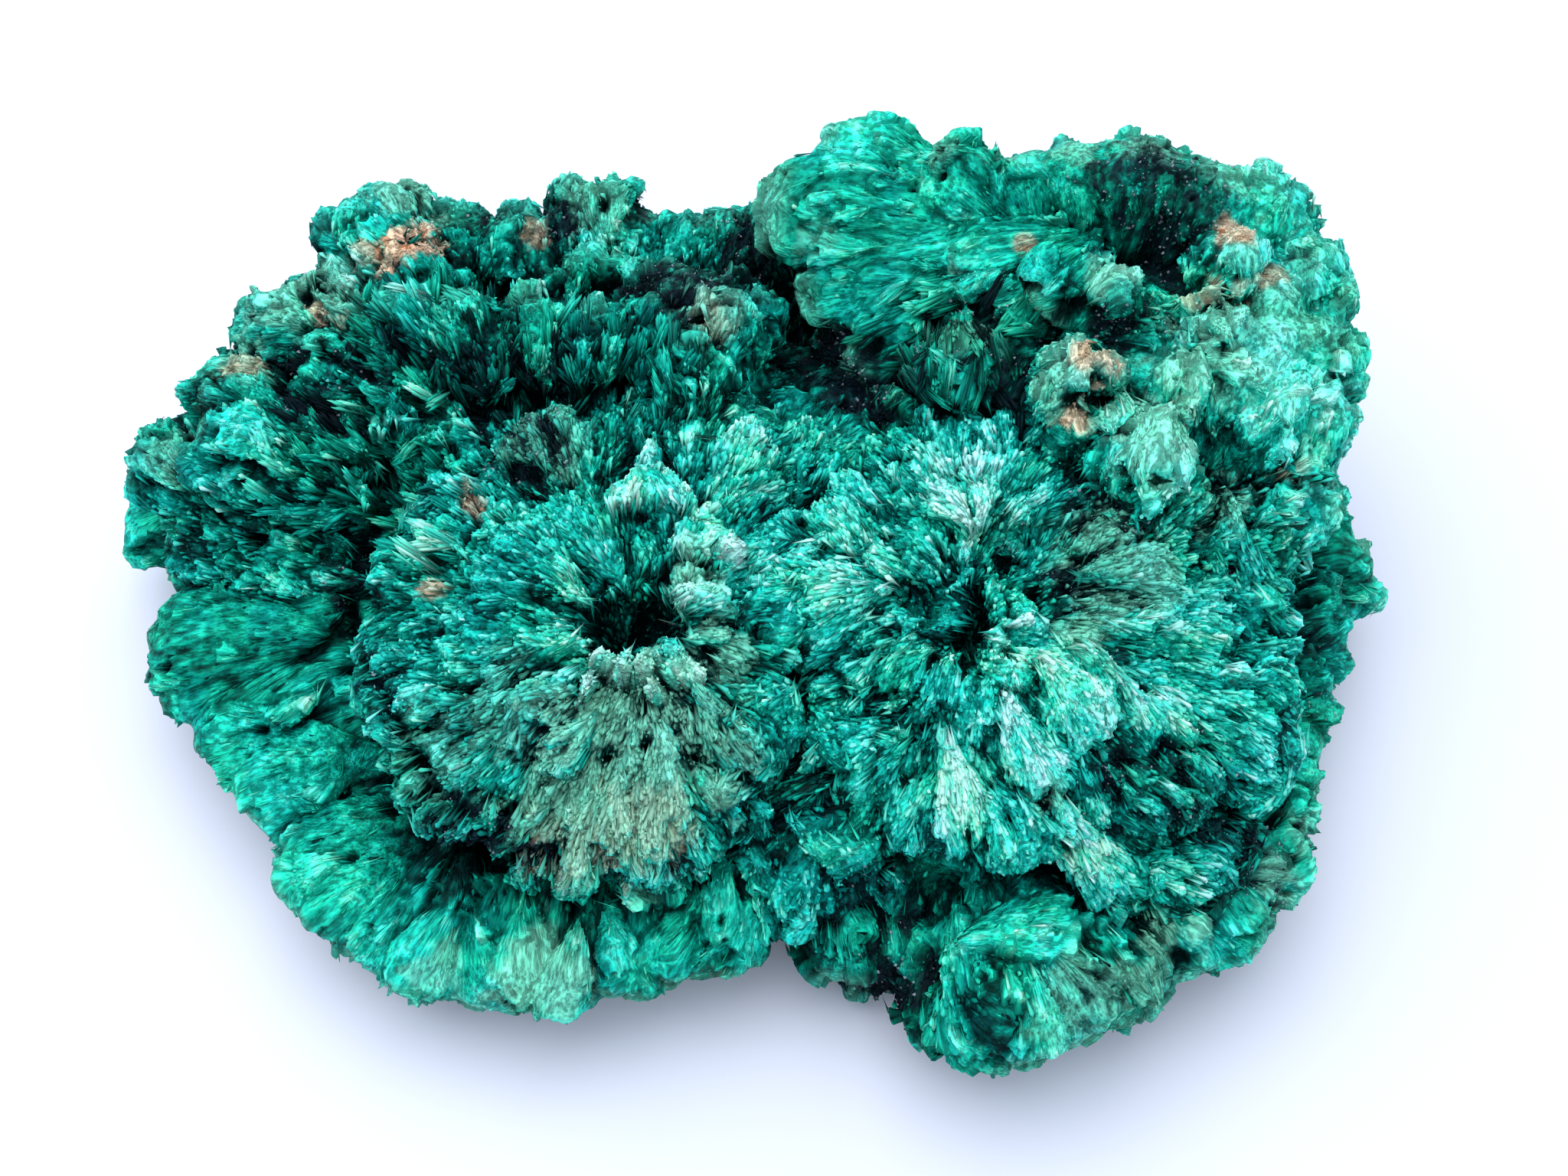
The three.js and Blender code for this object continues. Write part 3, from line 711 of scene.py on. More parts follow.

# %% [markdown]
# Weather and age mark some places: tan dust on the tops that stuck out longest, a grey-green bloom, patches
# of dark purple-black crystals, and the freshest mint. Some dark patches are painted shade instead, as on the
# lower faces of boulders at the back. Each mark is a pixel, a radius in pixels and a strength, and fades
# outwards with a ragged edge.

# %% Marks of age and dust
TAN_DUST = [
    (518, 332, 30, 1.0), (556, 322, 30, 1.0), (481, 333, 22, 0.6), (700, 305, 20, 0.5), (307, 495, 22, 0.4),
    (1612, 305, 24, 0.9), (1598, 386, 24, 0.7), (1572, 396, 18, 0.5), (1432, 476, 30, 0.8),
    (1405, 552, 20, 0.9), (1466, 547, 16, 0.9), (1544, 550, 20, 0.8), (1659, 356, 18, 0.5),
    (1342, 320, 13, 0.5), (922, 420, 26, 0.2), (562, 766, 15, 0.7), (614, 655, 14, 0.6), (1679, 604, 24, 0.4),
    (840, 1108, 60, 0.25), (720, 1112, 46, 0.2), (413, 407, 15, 0.6), (452, 418, 13, 0.4),
]
GREY_BLOOM = [
    (830, 980, 105, 1.0), (775, 1060, 86, 0.9), (942, 850, 42, 0.8), (901, 770, 34, 0.9),
    (1516, 563, 60, 0.8), (1432, 500, 66, 0.8), (1577, 440, 50, 0.7), (1453, 354, 34, 0.8),
    (1538, 472, 42, 0.7), (1600, 470, 50, 0.5), (1660, 400, 60, 0.45), (396, 376, 60, 0.7),
    (530, 262, 44, 0.8), (316, 484, 44, 0.7), (240, 600, 40, 0.5), (707, 1288, 62, 0.8), (573, 1268, 34, 0.5),
    (1455, 742, 66, 0.65), (1584, 660, 44, 0.6), (1410, 826, 26, 0.9), (1504, 1300, 52, 0.6),
    (1430, 1330, 60, 0.4), (1526, 1228, 36, 0.8), (1668, 1176, 40, 0.6), (1700, 1100, 34, 0.5),
    (717, 563, 50, 0.4), (770, 262, 44, 0.4), (922, 400, 40, 0.5), (1060, 300, 30, 0.3),
    (1370, 1045, 20, 0.8), (560, 1000, 60, 0.3), (660, 930, 60, 0.3),
]
print("dusty marks:", len(TAN_DUST) + len(GREY_BLOOM))

# %% Marks of dark crystal, painted shade and fresh growth
# Most rows are dark crystal; the first two paint shade on the lower faces of boulders at the back, and some
# others paint shade as well.
DARK_CRYSTALS_AND_SHADE = [
    (745, 286, 30, 0.8), (640, 292, 30, 0.5), (870, 369, 62, 0.9), (983, 317, 46, 0.8),
    (492, 481, 40, 0.6), (410, 540, 78, 0.85), (614, 492, 50, 0.7),
    (717, 490, 52, 0.7), (1510, 250, 84, 0.9), (1540, 350, 46, 0.8), (1262, 405, 50, 0.8),
    (1150, 506, 62, 1.0), (1100, 460, 50, 0.9), (1215, 500, 44, 0.8),
    (481, 717, 32, 0.9), (440, 768, 32, 0.8),
    (614, 1100, 48, 0.9), (707, 1130, 32, 0.9), (983, 1111, 50, 0.3), (1145, 1172, 50, 0.4),
    (1490, 1050, 70, 0.5), (1464, 1010, 40, 0.8), (1611, 1140, 56, 0.8), (1386, 690, 34, 0.7),
    (1587, 983, 40, 0.5), (1731, 930, 28, 0.7), (1160, 1268, 48, 0.8), (1400, 770, 30, 0.8),
    (1480, 412, 44, 1.0), (1290, 470, 56, 0.7), (1345, 440, 36, 0.6), (1440, 690, 46, 0.5),
    (695, 580, 54, 0.7), (640, 560, 34, 0.4), (860, 625, 34, 0.5), (500, 880, 44, 0.6),
    (1607, 748, 30, 0.7), (1465, 875, 34, 0.7), (1710, 840, 30, 0.6), (1321, 690, 44, 0.4),
]
FRESH_MINT = [
    (952, 610, 64, 1.0), (1275, 630, 72, 1.0), (1105, 760, 64, 0.8), (1382, 905, 62, 0.8),
    (1250, 1040, 44, 0.8), (1340, 970, 54, 0.9), (1475, 915, 56, 0.9), (1415, 1100, 46, 0.9),
    (800, 318, 44, 1.0), (1679, 505, 72, 1.0), (1068, 196, 50, 0.5), (1200, 204, 30, 0.5),
    (1088, 343, 26, 0.9), (1727, 700, 50, 0.7), (1720, 910, 42, 0.7), (573, 400, 40, 0.5),
    (530, 290, 50, 0.7), (450, 363, 30, 0.7), (640, 1225, 60, 0.7), (492, 1215, 50, 0.35),
    (820, 1215, 60, 0.3), (960, 1180, 40, 0.6), (1690, 1000, 36, 0.6),
    (316, 560, 50, 0.5), (1323, 823, 20, 1.0), (1600, 1190, 50, 0.7), (1560, 820, 44, 0.6),
    (740, 700, 60, 0.5), (750, 790, 40, 0.7), (760, 845, 40, 0.7), (1040, 690, 60, 0.4),
    (280, 640, 40, 0.4), (950, 735, 60, 0.6),
]


def placed(marks):
    return [(on_skin(x, y), radius / PIXELS_PER_MM, strength) for x, y, radius, strength in marks]


tan_marks = placed(TAN_DUST)
grey_marks = placed(GREY_BLOOM)
dark_marks = placed(DARK_CRYSTALS_AND_SHADE)
mint_marks = placed(FRESH_MINT)
print("marks in all:", len(tan_marks) + len(grey_marks) + len(dark_marks) + len(mint_marks))

# %% [markdown]
# Chance decides where most small things sit. A helper picks places evenly over the skin's area, more of them
# where a liking is high, and brings along everything that is known there. Another drops the ones that sit
# too close together.

# %% Random places on the skin
def corner_indices(mesh):
    mesh.calc_loop_triangles()
    return read_mesh(mesh.loop_triangles, "vertices", np.int32, 3)


def triangle_areas(at):
    edge_a = at[corners[:, 1]] - at[corners[:, 0]]
    edge_b = at[corners[:, 2]] - at[corners[:, 0]]
    return np.linalg.norm(np.cross(edge_a, edge_b), axis=1) / 2


corners = corner_indices(skin)
areas = triangle_areas(smooth_points)


def places(count, liking, sources):
    """Random surface places with a mix of each source array's values there."""
    weight = areas * np.clip(liking, 0, None)[corners].mean(1)
    chosen = RANDOM.choice(len(weight), count, p=weight / weight.sum())
    shares = RANDOM.dirichlet((1, 1, 1), count)
    spots = {}
    for name, values in sources.items():
        wide = values if values.ndim == 2 else values[:, None]
        mixed = (wide[corners[chosen]] * shares[:, :, None]).sum(1)
        spots[name] = mixed if values.ndim == 2 else mixed[:, 0]
    spots["up"] = unit(spots["up"])
    spots["way"] = unit(spots["way"])
    return spots


def spaced(spots, gap):
    kept = [0]
    for i in range(1, len(spots["at"])):
        if np.linalg.norm(spots["at"][kept] - spots["at"][i], axis=1).min() > gap:
            kept.append(i)
    return {name: values[kept] for name, values in spots.items()}


print("skin area in square millimetres:", round(float(areas.sum())))

# %% [markdown]
# Fans roughen the skin. Each is a wedge that starts at an apex, opens along the growth and ends in a ragged
# front. Its top stands proud of the skin, so a fan that overlaps another hides it, with a sharp step between
# them, and inside it the fibres all point away from its own apex. The largest fans come from the pictured
# list, and the many others are scattered along the growth.

# %% Fans as arrays
def flat_to(up, direction):
    return unit(direction - up * dot(direction, up))


def points_tree(at):
    tree = KDTree(len(at))
    for i, place in enumerate(at.tolist()):
        tree.insert(place, i)
    tree.balance()
    return tree


nearby = points_tree(smooth_points)
FAN_SCATTER = dict(length=(0.65, 1.4), opening=(0.75, 1.35), height=(0.7, 1.2), bed=(0, 0.4))
BOW_SCATTER = (-0.9, 0.6)
TILT_SCATTER = (-0.4, 0.4)


def scattered_fans(spots, length, opening, height, sway):
    count = len(spots["at"])
    ahead = flat_to(spots["up"], spots["way"])
    side = np.cross(spots["up"], ahead)
    turn = RANDOM.normal(0, sway, (count, 1))
    return dict(
        at=spots["at"],
        up=spots["up"],
        ahead=ahead * np.cos(turn) + side * np.sin(turn),
        side=side * np.cos(turn) - ahead * np.sin(turn),
        length=length * RANDOM.uniform(*FAN_SCATTER["length"], count),
        opening=opening * RANDOM.uniform(*FAN_SCATTER["opening"], count),
        height=height * RANDOM.uniform(*FAN_SCATTER["height"], count),
        bow=RANDOM.uniform(*BOW_SCATTER, count),
        tilt=RANDOM.uniform(*TILT_SCATTER, count),
        bed=height * RANDOM.uniform(*FAN_SCATTER["bed"], count),
        tone=RANDOM.normal(0, 1, count),
    )


MAIN_BED = 0.3
MAIN_BOW = 0.2
PAST_FRONT = 1.12


def pictured_fans(table):
    apexes = np.array([on_skin(x, y) for x, y, *_ in table])
    fronts = np.array([on_skin(x, y) for _, _, x, y, *_ in table])
    halfway = [nearby.find(place)[1] for place in ((apexes + fronts) / 2).tolist()]
    up = normals[halfway]
    ahead = flat_to(up, fronts - apexes)
    openings, heights, tones = np.array([row[4:] for row in table]).T
    return dict(
        at=apexes,
        up=up,
        ahead=ahead,
        side=np.cross(up, ahead),
        length=np.linalg.norm(fronts - apexes, axis=1) * PAST_FRONT,
        opening=openings,
        height=heights,
        bow=np.full(len(table), MAIN_BOW),
        tilt=np.zeros(len(table)),
        bed=np.full(len(table), MAIN_BED),
        tone=tones,
    )


print("fans can be scattered or pictured")

# %% Raising fans on the skin
FRONT_CURVE = 0.14
TOOTH_LENGTH = 1.3
TOOTH_SHARE = 0.3
SAME_FACING = 0.2
APEX_RAMP = 0.12
SIDE_FALL = 0.5
STRAND_HEIGHT = 0.35
STRAND_SEEDS = 31.0
BREADTH_MARGIN = 0.6
BREADTH_ELSEWHERE = 8.0

fan_level = np.zeros(len(smooth_points))
small_level = np.zeros(len(smooth_points))
tone = np.zeros(len(smooth_points))
breadth = np.full(len(smooth_points), BREADTH_ELSEWHERE)


def raise_fans(fans, heights, focus, strands):
    """Lifts the heights of the points under each fan, and gives them its growth direction and tone."""
    for i in range(len(fans["at"])):
        apex, ahead, length = fans["at"][i], fans["ahead"][i], fans["length"][i]
        near = np.array([index for _, index, _ in nearby.find_range(apex, length)])
        from_apex = smooth_points[near] - apex
        turn = np.arctan2(from_apex @ fans["side"][i], from_apex @ ahead) / fans["opening"][i]
        strand = chance(np.floor(turn * strands) + STRAND_SEEDS * i)
        tooth = min(TOOTH_LENGTH, TOOTH_SHARE * length)
        front = length * (1 - FRONT_CURVE * turn**2) - tooth * strand
        share = np.linalg.norm(from_apex, axis=1) / front
        facing = normals[near] @ fans["up"][i]
        inside = (np.abs(turn) < 1) & (share < 1) & (facing > SAME_FACING)
        near, from_apex, turn = near[inside], from_apex[inside], turn[inside]
        strand, share = strand[inside], share[inside]
        bow = fans["bow"][i]
        along = step_up(share, 0, APEX_RAMP) * (1 - bow * share) / (1 + max(-bow, 0))
        across = 1 - SIDE_FALL * turn**2 + fans["tilt"][i] * turn
        height = fans["height"][i] * (across + STRAND_HEIGHT * (strand - 0.5))
        raised = fans["bed"][i] + height * along
        higher = raised > heights[near]
        chosen = near[higher]
        heights[chosen] = raised[higher]
        from_start = from_apex[higher] + focus * length * ahead
        way[chosen] = unit(from_start)
        travel[chosen] = np.linalg.norm(from_start, axis=1)
        breadth[chosen] = (focus + BREADTH_MARGIN) * length
        tone[chosen] = fans["tone"][i]


raise_fans(pictured_fans(MAIN_FANS), fan_level, focus=0.1, strands=9)
print("points on the largest fans:", int((fan_level > 0).sum()))

# %% Scattering the other fans
ROUND_CALM = 0.7
ROUND_REACH = (0.7, 0.95)
POINTED_HABIT = (0.8, 0.95)
COVERED_CALM = 0.9
BROAD_FANS = dict(count=900, gap=2.5, focus=0.15, teeth=6, length=6.0, opening=0.4, height=0.9, sway=0.25)
SILKY_FANS = dict(count=300, gap=3.6, focus=0.15, teeth=6, length=9.0, opening=0.26, height=0.25, sway=0.1)
SMALL_FANS = dict(count=5600, gap=1.1, focus=0.5, teeth=4, length=2.6, opening=0.36, height=0.42, sway=0.22)

round_end = step_up(reach, *ROUND_REACH) * (1 - step_up(habit[:, 1], *POINTED_HABIT))
feathery = habit[:, 1] * above_break * (1 - ROUND_CALM * round_end)
silky = habit[:, 0] * above_break
uncovered = 1 - COVERED_CALM * (fan_level > 0)


def grow(liking, heights, count, gap, focus, teeth, **shape):
    sliding = 1 - dot(way, normals)[:, 0] ** 2
    spots = places(count, liking * sliding, dict(at=smooth_points, up=normals, way=way))
    spots = spaced(spots, gap)
    raise_fans(scattered_fans(spots, **shape), heights, focus, teeth)
    return len(spots["at"])


broad = grow(feathery * uncovered, fan_level, **BROAD_FANS)
silks = grow(silky * uncovered, fan_level, **SILKY_FANS)
small = grow(feathery, small_level, **SMALL_FANS)
print("broad fans", broad, "silky fans", silks, "small fans", small)

# %% [markdown]
# Bundles of fibres stand up as ridges that run the way they grew. A noise read on the growth direction alone
# is constant along each line from the apex, so its crests are exactly such ridges. Then the crevices and
# holes are pushed in.

# %% Nearness to a line or a hole
HOLE_REACH = 2.5
HOLE_NARROWNESS = 0.45


def nearness(lines, radius):
    """One on the given lines, and fading to nothing over the radius."""
    tree = points_tree(np.array([place for line in lines for place in trail(line)]))
    distance = np.array([tree.find(place)[2] for place in smooth_points.tolist()])
    return np.exp(-((distance / radius) ** 2))


def hole_depth(middles, sizes):
    """One in the middle of each hole, which is longer along the growth than across it."""
    deepest = np.zeros(len(smooth_points))
    for middle, size in zip(middles, sizes):
        near = np.array([index for _, index, _ in nearby.find_range(middle, HOLE_REACH * size)])
        offset = smooth_points[near] - middle
        along = dot(offset, way[near])[:, 0]
        across = (offset**2).sum(1) - along**2
        depth = np.exp(-((along / size) ** 2) - across / (HOLE_NARROWNESS * size) ** 2)
        deepest[near] = np.maximum(deepest[near], depth)
    return deepest


def swelling():
    height = np.zeros(len(smooth_points))
    for x, y, radius, rise in SWELLS:
        distance = np.linalg.norm(smooth_points - on_skin(x, y), axis=1) / (radius / PIXELS_PER_MM)
        height += rise * np.exp(-(distance**2))
    return height


print("the highest swell in millimetres:", round(float(swelling().max()), 1))

# %% Where the crevices and holes lie
CREVICE_WIDTH = 0.75
SEAM_WIDTH = 0.3
CHANCE_HOLES = 420
SMALLEST_HOLE = 0.25
HOLE_SIZE_SPREAD = 0.6
SILK_CLOSES = 0.6


def patches(at, size, seed, low, high):
    return step_up(cloud(at, size, seed), low, high)


crevice_gaps = patches(smooth_points, size=1.6, seed=83, low=0.2, high=0.6)
crevice = nearness(CREVICES, CREVICE_WIDTH) * crevice_gaps
seam = nearness(PALE_SEAMS, SEAM_WIDTH) * patches(smooth_points, size=0.8, seed=85, low=0.25, high=0.5)
hole_likes = patches(smooth_points, size=5.0, seed=87, low=0.35, high=0.7)
hole_likes = hole_likes * above_break * (1 - SILK_CLOSES * silky)
chance_holes = places(CHANCE_HOLES, hole_likes, dict(at=smooth_points, up=normals, way=way))["at"]
pictured_holes = [on_skin(x, y) for x, y, _ in HOLES]
chance_sizes = SMALLEST_HOLE + HOLE_SIZE_SPREAD * RANDOM.uniform(0, 1, CHANCE_HOLES) ** 3
hole_sizes = [long / PIXELS_PER_MM for *_, long in HOLES] + list(chance_sizes)
hole = hole_depth([*pictured_holes, *chance_holes], hole_sizes)
print("points in crevices:", int((crevice > 0.5).sum()), "in holes:", int((hole > 0.5).sum()))

# %% Ridges, lumps, crevices and holes
BUNDLE_SIZE = 0.5
BUNDLE_MIDDLE = 0.6
RIDGE_HEIGHT = 0.42
RIDGE_START = (0.5, 3)
RIM_REACH = (0.6, 0.9)
RIM_CALM = 0.75
LUMP_SIZE = 1.1
SMALL_LUMP_SIZE = LUMP_SIZE * 0.45
LUMP_HEIGHT = 0.25
LUMP_FADE = 1.1
COARSE_SHARE = 0.6
FINE_SHARE = 0.4
FAN_BED = 0.55
CREVICE_DEPTH = 1.5
HOLE_DEPTH = 1.6
SEAM_HEIGHT = 0.25
RELIEF_ROUNDS = 24


def two_clouds(at, coarse, fine, seed):
    return cloud(at, coarse, seed) * COARSE_SHARE + cloud(at, fine, seed + 1) * FINE_SHARE


fibre_map = way * breadth[:, None]
bundles = 1 - np.abs(2 * cloud(fibre_map, BUNDLE_SIZE, seed=3) - 1)
lumps = two_clouds(smooth_points, LUMP_SIZE, SMALL_LUMP_SIZE, seed=11)
level = fan_level + small_level - FAN_BED * habit[:, 1]
rim = np.maximum(silky * step_up(reach, *RIM_REACH), ROUND_CALM * round_end)
ridges = (bundles - BUNDLE_MIDDLE) * RIDGE_HEIGHT * step_up(travel, *RIDGE_START)
level = level + ridges * (1 - RIM_CALM * rim)
level = level + (lumps - 0.5) * LUMP_HEIGHT * (LUMP_FADE - habit[:, 0])
hollow = np.maximum(crevice, hole)
level = level - CREVICE_DEPTH * crevice - HOLE_DEPTH * hole + SEAM_HEIGHT * seam
# relief is used only for colour: raised places get a painted highlight, places lower than their surroundings
# painted shade.
relief = level - neighbour_mean(level, RELIEF_ROUNDS)
level = level + swelling()
points = smooth_points + normals * (level * above_break)[:, None]
move_points(skin, points)
normals = normals_of(skin)
areas = triangle_areas(points)
print("the skin rises from", round(float(level.min()), 2), "to", round(float(level.max()), 2), "mm")

# %% [markdown]
# Deep between the sheaves little light arrives, so the colour there is darkened as painted shade. How open
# the skin is to the sky is measured at fifty thousand of its points, by sending a few rays out of each and
# counting those that escape. The other points take the value of the nearest one, and a little averaging hides
# the joins.

# %% How open each point is
OPEN_RAYS = 16
OPEN_REACH = 7.0
OPEN_SAMPLES = 50000
OPEN_BLUR = 5
RAY_START = 0.15
RAY_LEAN = 0.9
GOLDEN_TURN = 2.399963


def openness(at, up):
    tree = tree_of(skin)
    ray_turns = np.arange(OPEN_RAYS) * GOLDEN_TURN
    ray_rise = (np.arange(OPEN_RAYS) + 0.5) / OPEN_RAYS
    flat = np.sqrt(1 - ray_rise**2)
    rays = np.stack([flat * np.cos(ray_turns), flat * np.sin(ray_turns), ray_rise], 1)
    starts = ((at + up * RAY_START - ORIGIN) * MM).tolist()
    free = np.zeros(len(at))
    for ray in rays:
        aimed = unit(up * RAY_LEAN + ray).tolist()
        for i, (start, aim) in enumerate(zip(starts, aimed)):
            if tree.ray_cast(start, aim, OPEN_REACH * MM)[0] is None:
                free[i] += 1
    return free / OPEN_RAYS


sampled = RANDOM.choice(len(points), OPEN_SAMPLES, replace=False)
measured = openness(points[sampled], normals[sampled])
sample_tree = points_tree(points[sampled])
nearest_sample = np.array([sample_tree.find(place)[1] for place in points.tolist()])
# open_sky feeds the colour as painted shade: the less of the sky a point sees, the darker it is painted.
open_sky = neighbour_mean(measured[nearest_sample], OPEN_BLUR)
print("mean openness:", round(float(open_sky.mean()), 2))

# %% [markdown]
# One function answers for colour everywhere: the skin asks it for each point, and each fibre asks it for its
# tip. It first adds up how light the place is, and reads a green for it from a short scale. Tips are lighter
# than feet. Painted shade and highlight go in too: places open to the sky and raised places are painted
# lighter, hidden and low places darker. Then the marks come over the top.

# %% Where the marks lie
MARK_EDGE = 1.3
MARK_FADE = 0.5
MARK_RAGGEDNESS = 1.4
UPWARD = (0.1, 0.7)
MARGIN_REACH = (0.9, 0.99)


def marked(at, marks, seed):
    ragged = two_clouds(at, coarse=1.5, fine=0.5, seed=seed)
    strongest = np.zeros(len(at))
    for middle, radius, strength in marks:
        distance = np.linalg.norm(at - middle, axis=1) / radius
        inside = step_up(MARK_EDGE - distance + (ragged - 0.5) * MARK_RAGGEDNESS, 0, MARK_FADE)
        strongest = np.maximum(strongest, strength * inside)
    return strongest


def upward(directions):
    return step_up(directions[:, 2], *UPWARD)


dust = marked(smooth_points, tan_marks, seed=61) * upward(normals)
# The dark marks are dark crystal in most places and painted shade in some.
dark = marked(smooth_points, dark_marks, seed=51)
bloom = marked(smooth_points, grey_marks, seed=41) * upward(normals)
fresh = marked(smooth_points, mint_marks, seed=31)
margin = step_up(reach, *MARGIN_REACH) * silky
print("share of the skin with dust:", round(float((dust > 0.3).mean()), 3))

# %% The greens and the dusts
LIGHT_SCALE = np.array([-0.1, 0.14, 0.42, 0.74, 1.05, 1.4])
GREENS = np.array([
    linear(0, 24, 27),
    linear(0, 60, 58),
    linear(0, 142, 129),
    linear(30, 210, 190),
    linear(108, 244, 224),
    linear(196, 255, 248),
])
EMERALD = np.array([1.0, 1.0, 0.82])
SEA_GREEN = np.array([1.0, 1.0, 1.09])
GREY_GREEN = linear(132, 208, 182)
TAN = linear(230, 190, 162)
BURNT_ORANGE = linear(216, 142, 104)
NIGHT_PURPLE = linear(22, 32, 46)
# The open and relief weights paint shade and highlight into the colour; the tip weight also carries the
# skin's painted shade in hollows.
LIGHT = dict(base=0.52, tip=0.5, open=0.68, streak=0.85, patch=0.4, relief=0.5, tone=0.08, fresh=0.3)
HABIT_LIGHT = 0.3
SILKY_LIGHT = -0.07
DARK_LIGHT = -0.3
SEAM_LIGHT = 0.3
SILKY_HABIT = (0.7, 1.0)
OPEN_MIDDLE = 0.75
PATCH_SIZE = 3.6
STREAK_SIZE = 0.24
STREAK_SHARE = 0.55
SPECKLE_SIZE = 0.5
SPECKLE_SHARE = 0.45
LEANING = dict(base=0.3, silky=0.4, broad=1.1, fine=0.7)
LEANING_SIZES = dict(broad=2.4, fine=0.35)
COVER = dict(bloom=0.7, margin=0.4, dark=0.5, dust=0.85)
COVER_LIGHT = (0.0, 0.35)
DUST_LIGHT = (-0.1, 0.2)
DARK_FADE = 0.6


def green_of(light):
    return np.stack([np.interp(light, LIGHT_SCALE, GREENS[:, i]) for i in range(3)], -1)


print("greens in the scale:", len(GREENS))

# %% One answer for colour
def lightness(spots, tipness, streak):
    patch = cloud(spots["at"], PATCH_SIZE, seed=25)
    # Painted shade: less open places get a darker green.
    light = LIGHT["base"] + LIGHT["tip"] * (tipness - 0.5) + LIGHT["open"] * (spots["lit"] - OPEN_MIDDLE)
    light = light + LIGHT["streak"] * (streak - 0.5) + LIGHT["patch"] * (patch - 0.5)
    # Painted highlight on raised places and painted shade on low ones.
    light = light + LIGHT["relief"] * spots["relief"] + LIGHT["tone"] * spots["tone"]
    light = light + LIGHT["fresh"] * spots["fresh"] + HABIT_LIGHT * (spots["habit"][:, 2] - 0.5)
    light = light + DARK_LIGHT * spots["dark"] + SEAM_LIGHT * spots["seam"]
    return light + SILKY_LIGHT * step_up(spots["habit"][:, 0], *SILKY_HABIT)


def emerald_share(spots):
    leaning = LEANING["base"] + LEANING["silky"] * spots["habit"][:, 0]
    broad_cloud = cloud(spots["at"], LEANING_SIZES["broad"], seed=27)
    fine_cloud = cloud(spots["at"], LEANING_SIZES["fine"], seed=29)
    leaning = leaning + LEANING["broad"] * (broad_cloud - 0.5)
    leaning = leaning + LEANING["fine"] * (fine_cloud - 0.5)
    return np.clip(leaning, 0, 1)


def streaked(colour, streak, least, spread):
    return colour * (least + spread * streak[:, None])


def colour_at(spots, tipness):
    """Linear colours for surface places, where tipness runs from 0 at a fibre's foot to 1 at its tip."""
    streak = cloud(spots["map"], STREAK_SIZE, seed=21) * STREAK_SHARE
    streak = streak + cloud(spots["at"], SPECKLE_SIZE, seed=23) * SPECKLE_SHARE
    light = lightness(spots, tipness, streak)
    colour = green_of(light) * blend(SEA_GREEN, EMERALD, emerald_share(spots))
    shown = step_up(light, *COVER_LIGHT)
    dusty_green = streaked(GREY_GREEN, streak, least=0.58, spread=0.78)
    colour = blend(colour, dusty_green, spots["bloom"] * COVER["bloom"] * shown)
    colour = blend(colour, GREY_GREEN, spots["margin"] * COVER["margin"] * shown)
    # Dark marks, crystal or painted shade, go towards night purple.
    colour = blend(colour, NIGHT_PURPLE, spots["dark"] * COVER["dark"] * (1 - DARK_FADE * shown))
    tint = blend(TAN, BURNT_ORANGE, patches(spots["at"], size=0.9, seed=63, low=0.5, high=0.75))
    tint = streaked(tint, streak, least=0.7, spread=0.45)
    return blend(colour, tint, spots["dust"] * COVER["dust"] * step_up(light, *DUST_LIGHT))


print("a light of one half gives the linear green", green_of(np.array([0.5])).round(2))

# %% The skin's colours
SKIN_TIPNESS = 0.5
FEATHERY_PAINTED_SHADE = 0.35
HOLLOW_PAINTED_SHADE = 0.6

known = dict(at=points, up=normals, way=way, lit=open_sky, relief=relief, tone=tone, habit=habit)
known.update(map=fibre_map, fresh=fresh, dark=dark, bloom=bloom, dust=dust, margin=margin, seam=seam)
# Painted shade: the skin is darker under the feathery carpets, standing for the shade between needles, and in
# crevices and holes.
skin_tipness = SKIN_TIPNESS - FEATHERY_PAINTED_SHADE * habit[:, 1] - HOLLOW_PAINTED_SHADE * hollow
skin_colour = colour_at(known, skin_tipness)
print("mean skin colour:", skin_colour.mean(0).round(3))

# %% Values that the finishes read
def store(mesh, name, kind, key, values):
    attribute = mesh.attributes.new(name, kind, "POINT")
    attribute.data.foreach_set(key, values.astype(np.float32).ravel())


def store_colour(mesh, name, colours):
    opaque = np.ones((len(colours), 1))
    store(mesh, name, "FLOAT_COLOR", "color", np.hstack([colours, opaque]))


store_colour(skin, "tone", skin_colour)
store(skin, "fibre_map", "FLOAT_VECTOR", "vector", fibre_map)
store(skin, "silk", "FLOAT", "value", silky)
store(skin, "travel", "FLOAT", "value", travel)
store(skin, "grown_place", "FLOAT_VECTOR", "vector", points)
store(skin, "grown_normal", "FLOAT_VECTOR", "vector", normals)
print("attributes on the skin:", [a.name for a in skin.attributes if not a.name.startswith(".")])

# %% [markdown]
# Shader maths is easier to read as Python sums. The class below wraps a socket, so that adding or
# multiplying two wrapped sockets adds the Math node that does it.

# %% Shader sums written as Python
class Wire:
    def __init__(self, tree, socket):
        self.tree = tree
        self.socket = socket

    def node(self, kind, settings=None, output=0, **values):
        made = self.tree.nodes.new(kind)
        for name, value in (settings or {}).items():
            setattr(made, name, value)
        for name, value in values.items():
            key = int(name[1:]) if name[0] == "_" else name.replace("_", " ")
            if isinstance(value, Wire):
                self.tree.links.new(value.socket, made.inputs[key])
            else:
                made.inputs[key].default_value = value
        return Wire(self.tree, made.outputs[output])

    def math(self, operation, first, second):
        return self.node("ShaderNodeMath", {"operation": operation}, _0=first, _1=second)

    def __add__(self, other):
        return self.math("ADD", self, other)

    def __sub__(self, other):
        return self.math("SUBTRACT", self, other)

    def __rsub__(self, other):
        return self.math("SUBTRACT", other, self)

    def __mul__(self, other):
        return self.math("MULTIPLY", self, other)

    __radd__ = __add__
    __rmul__ = __mul__


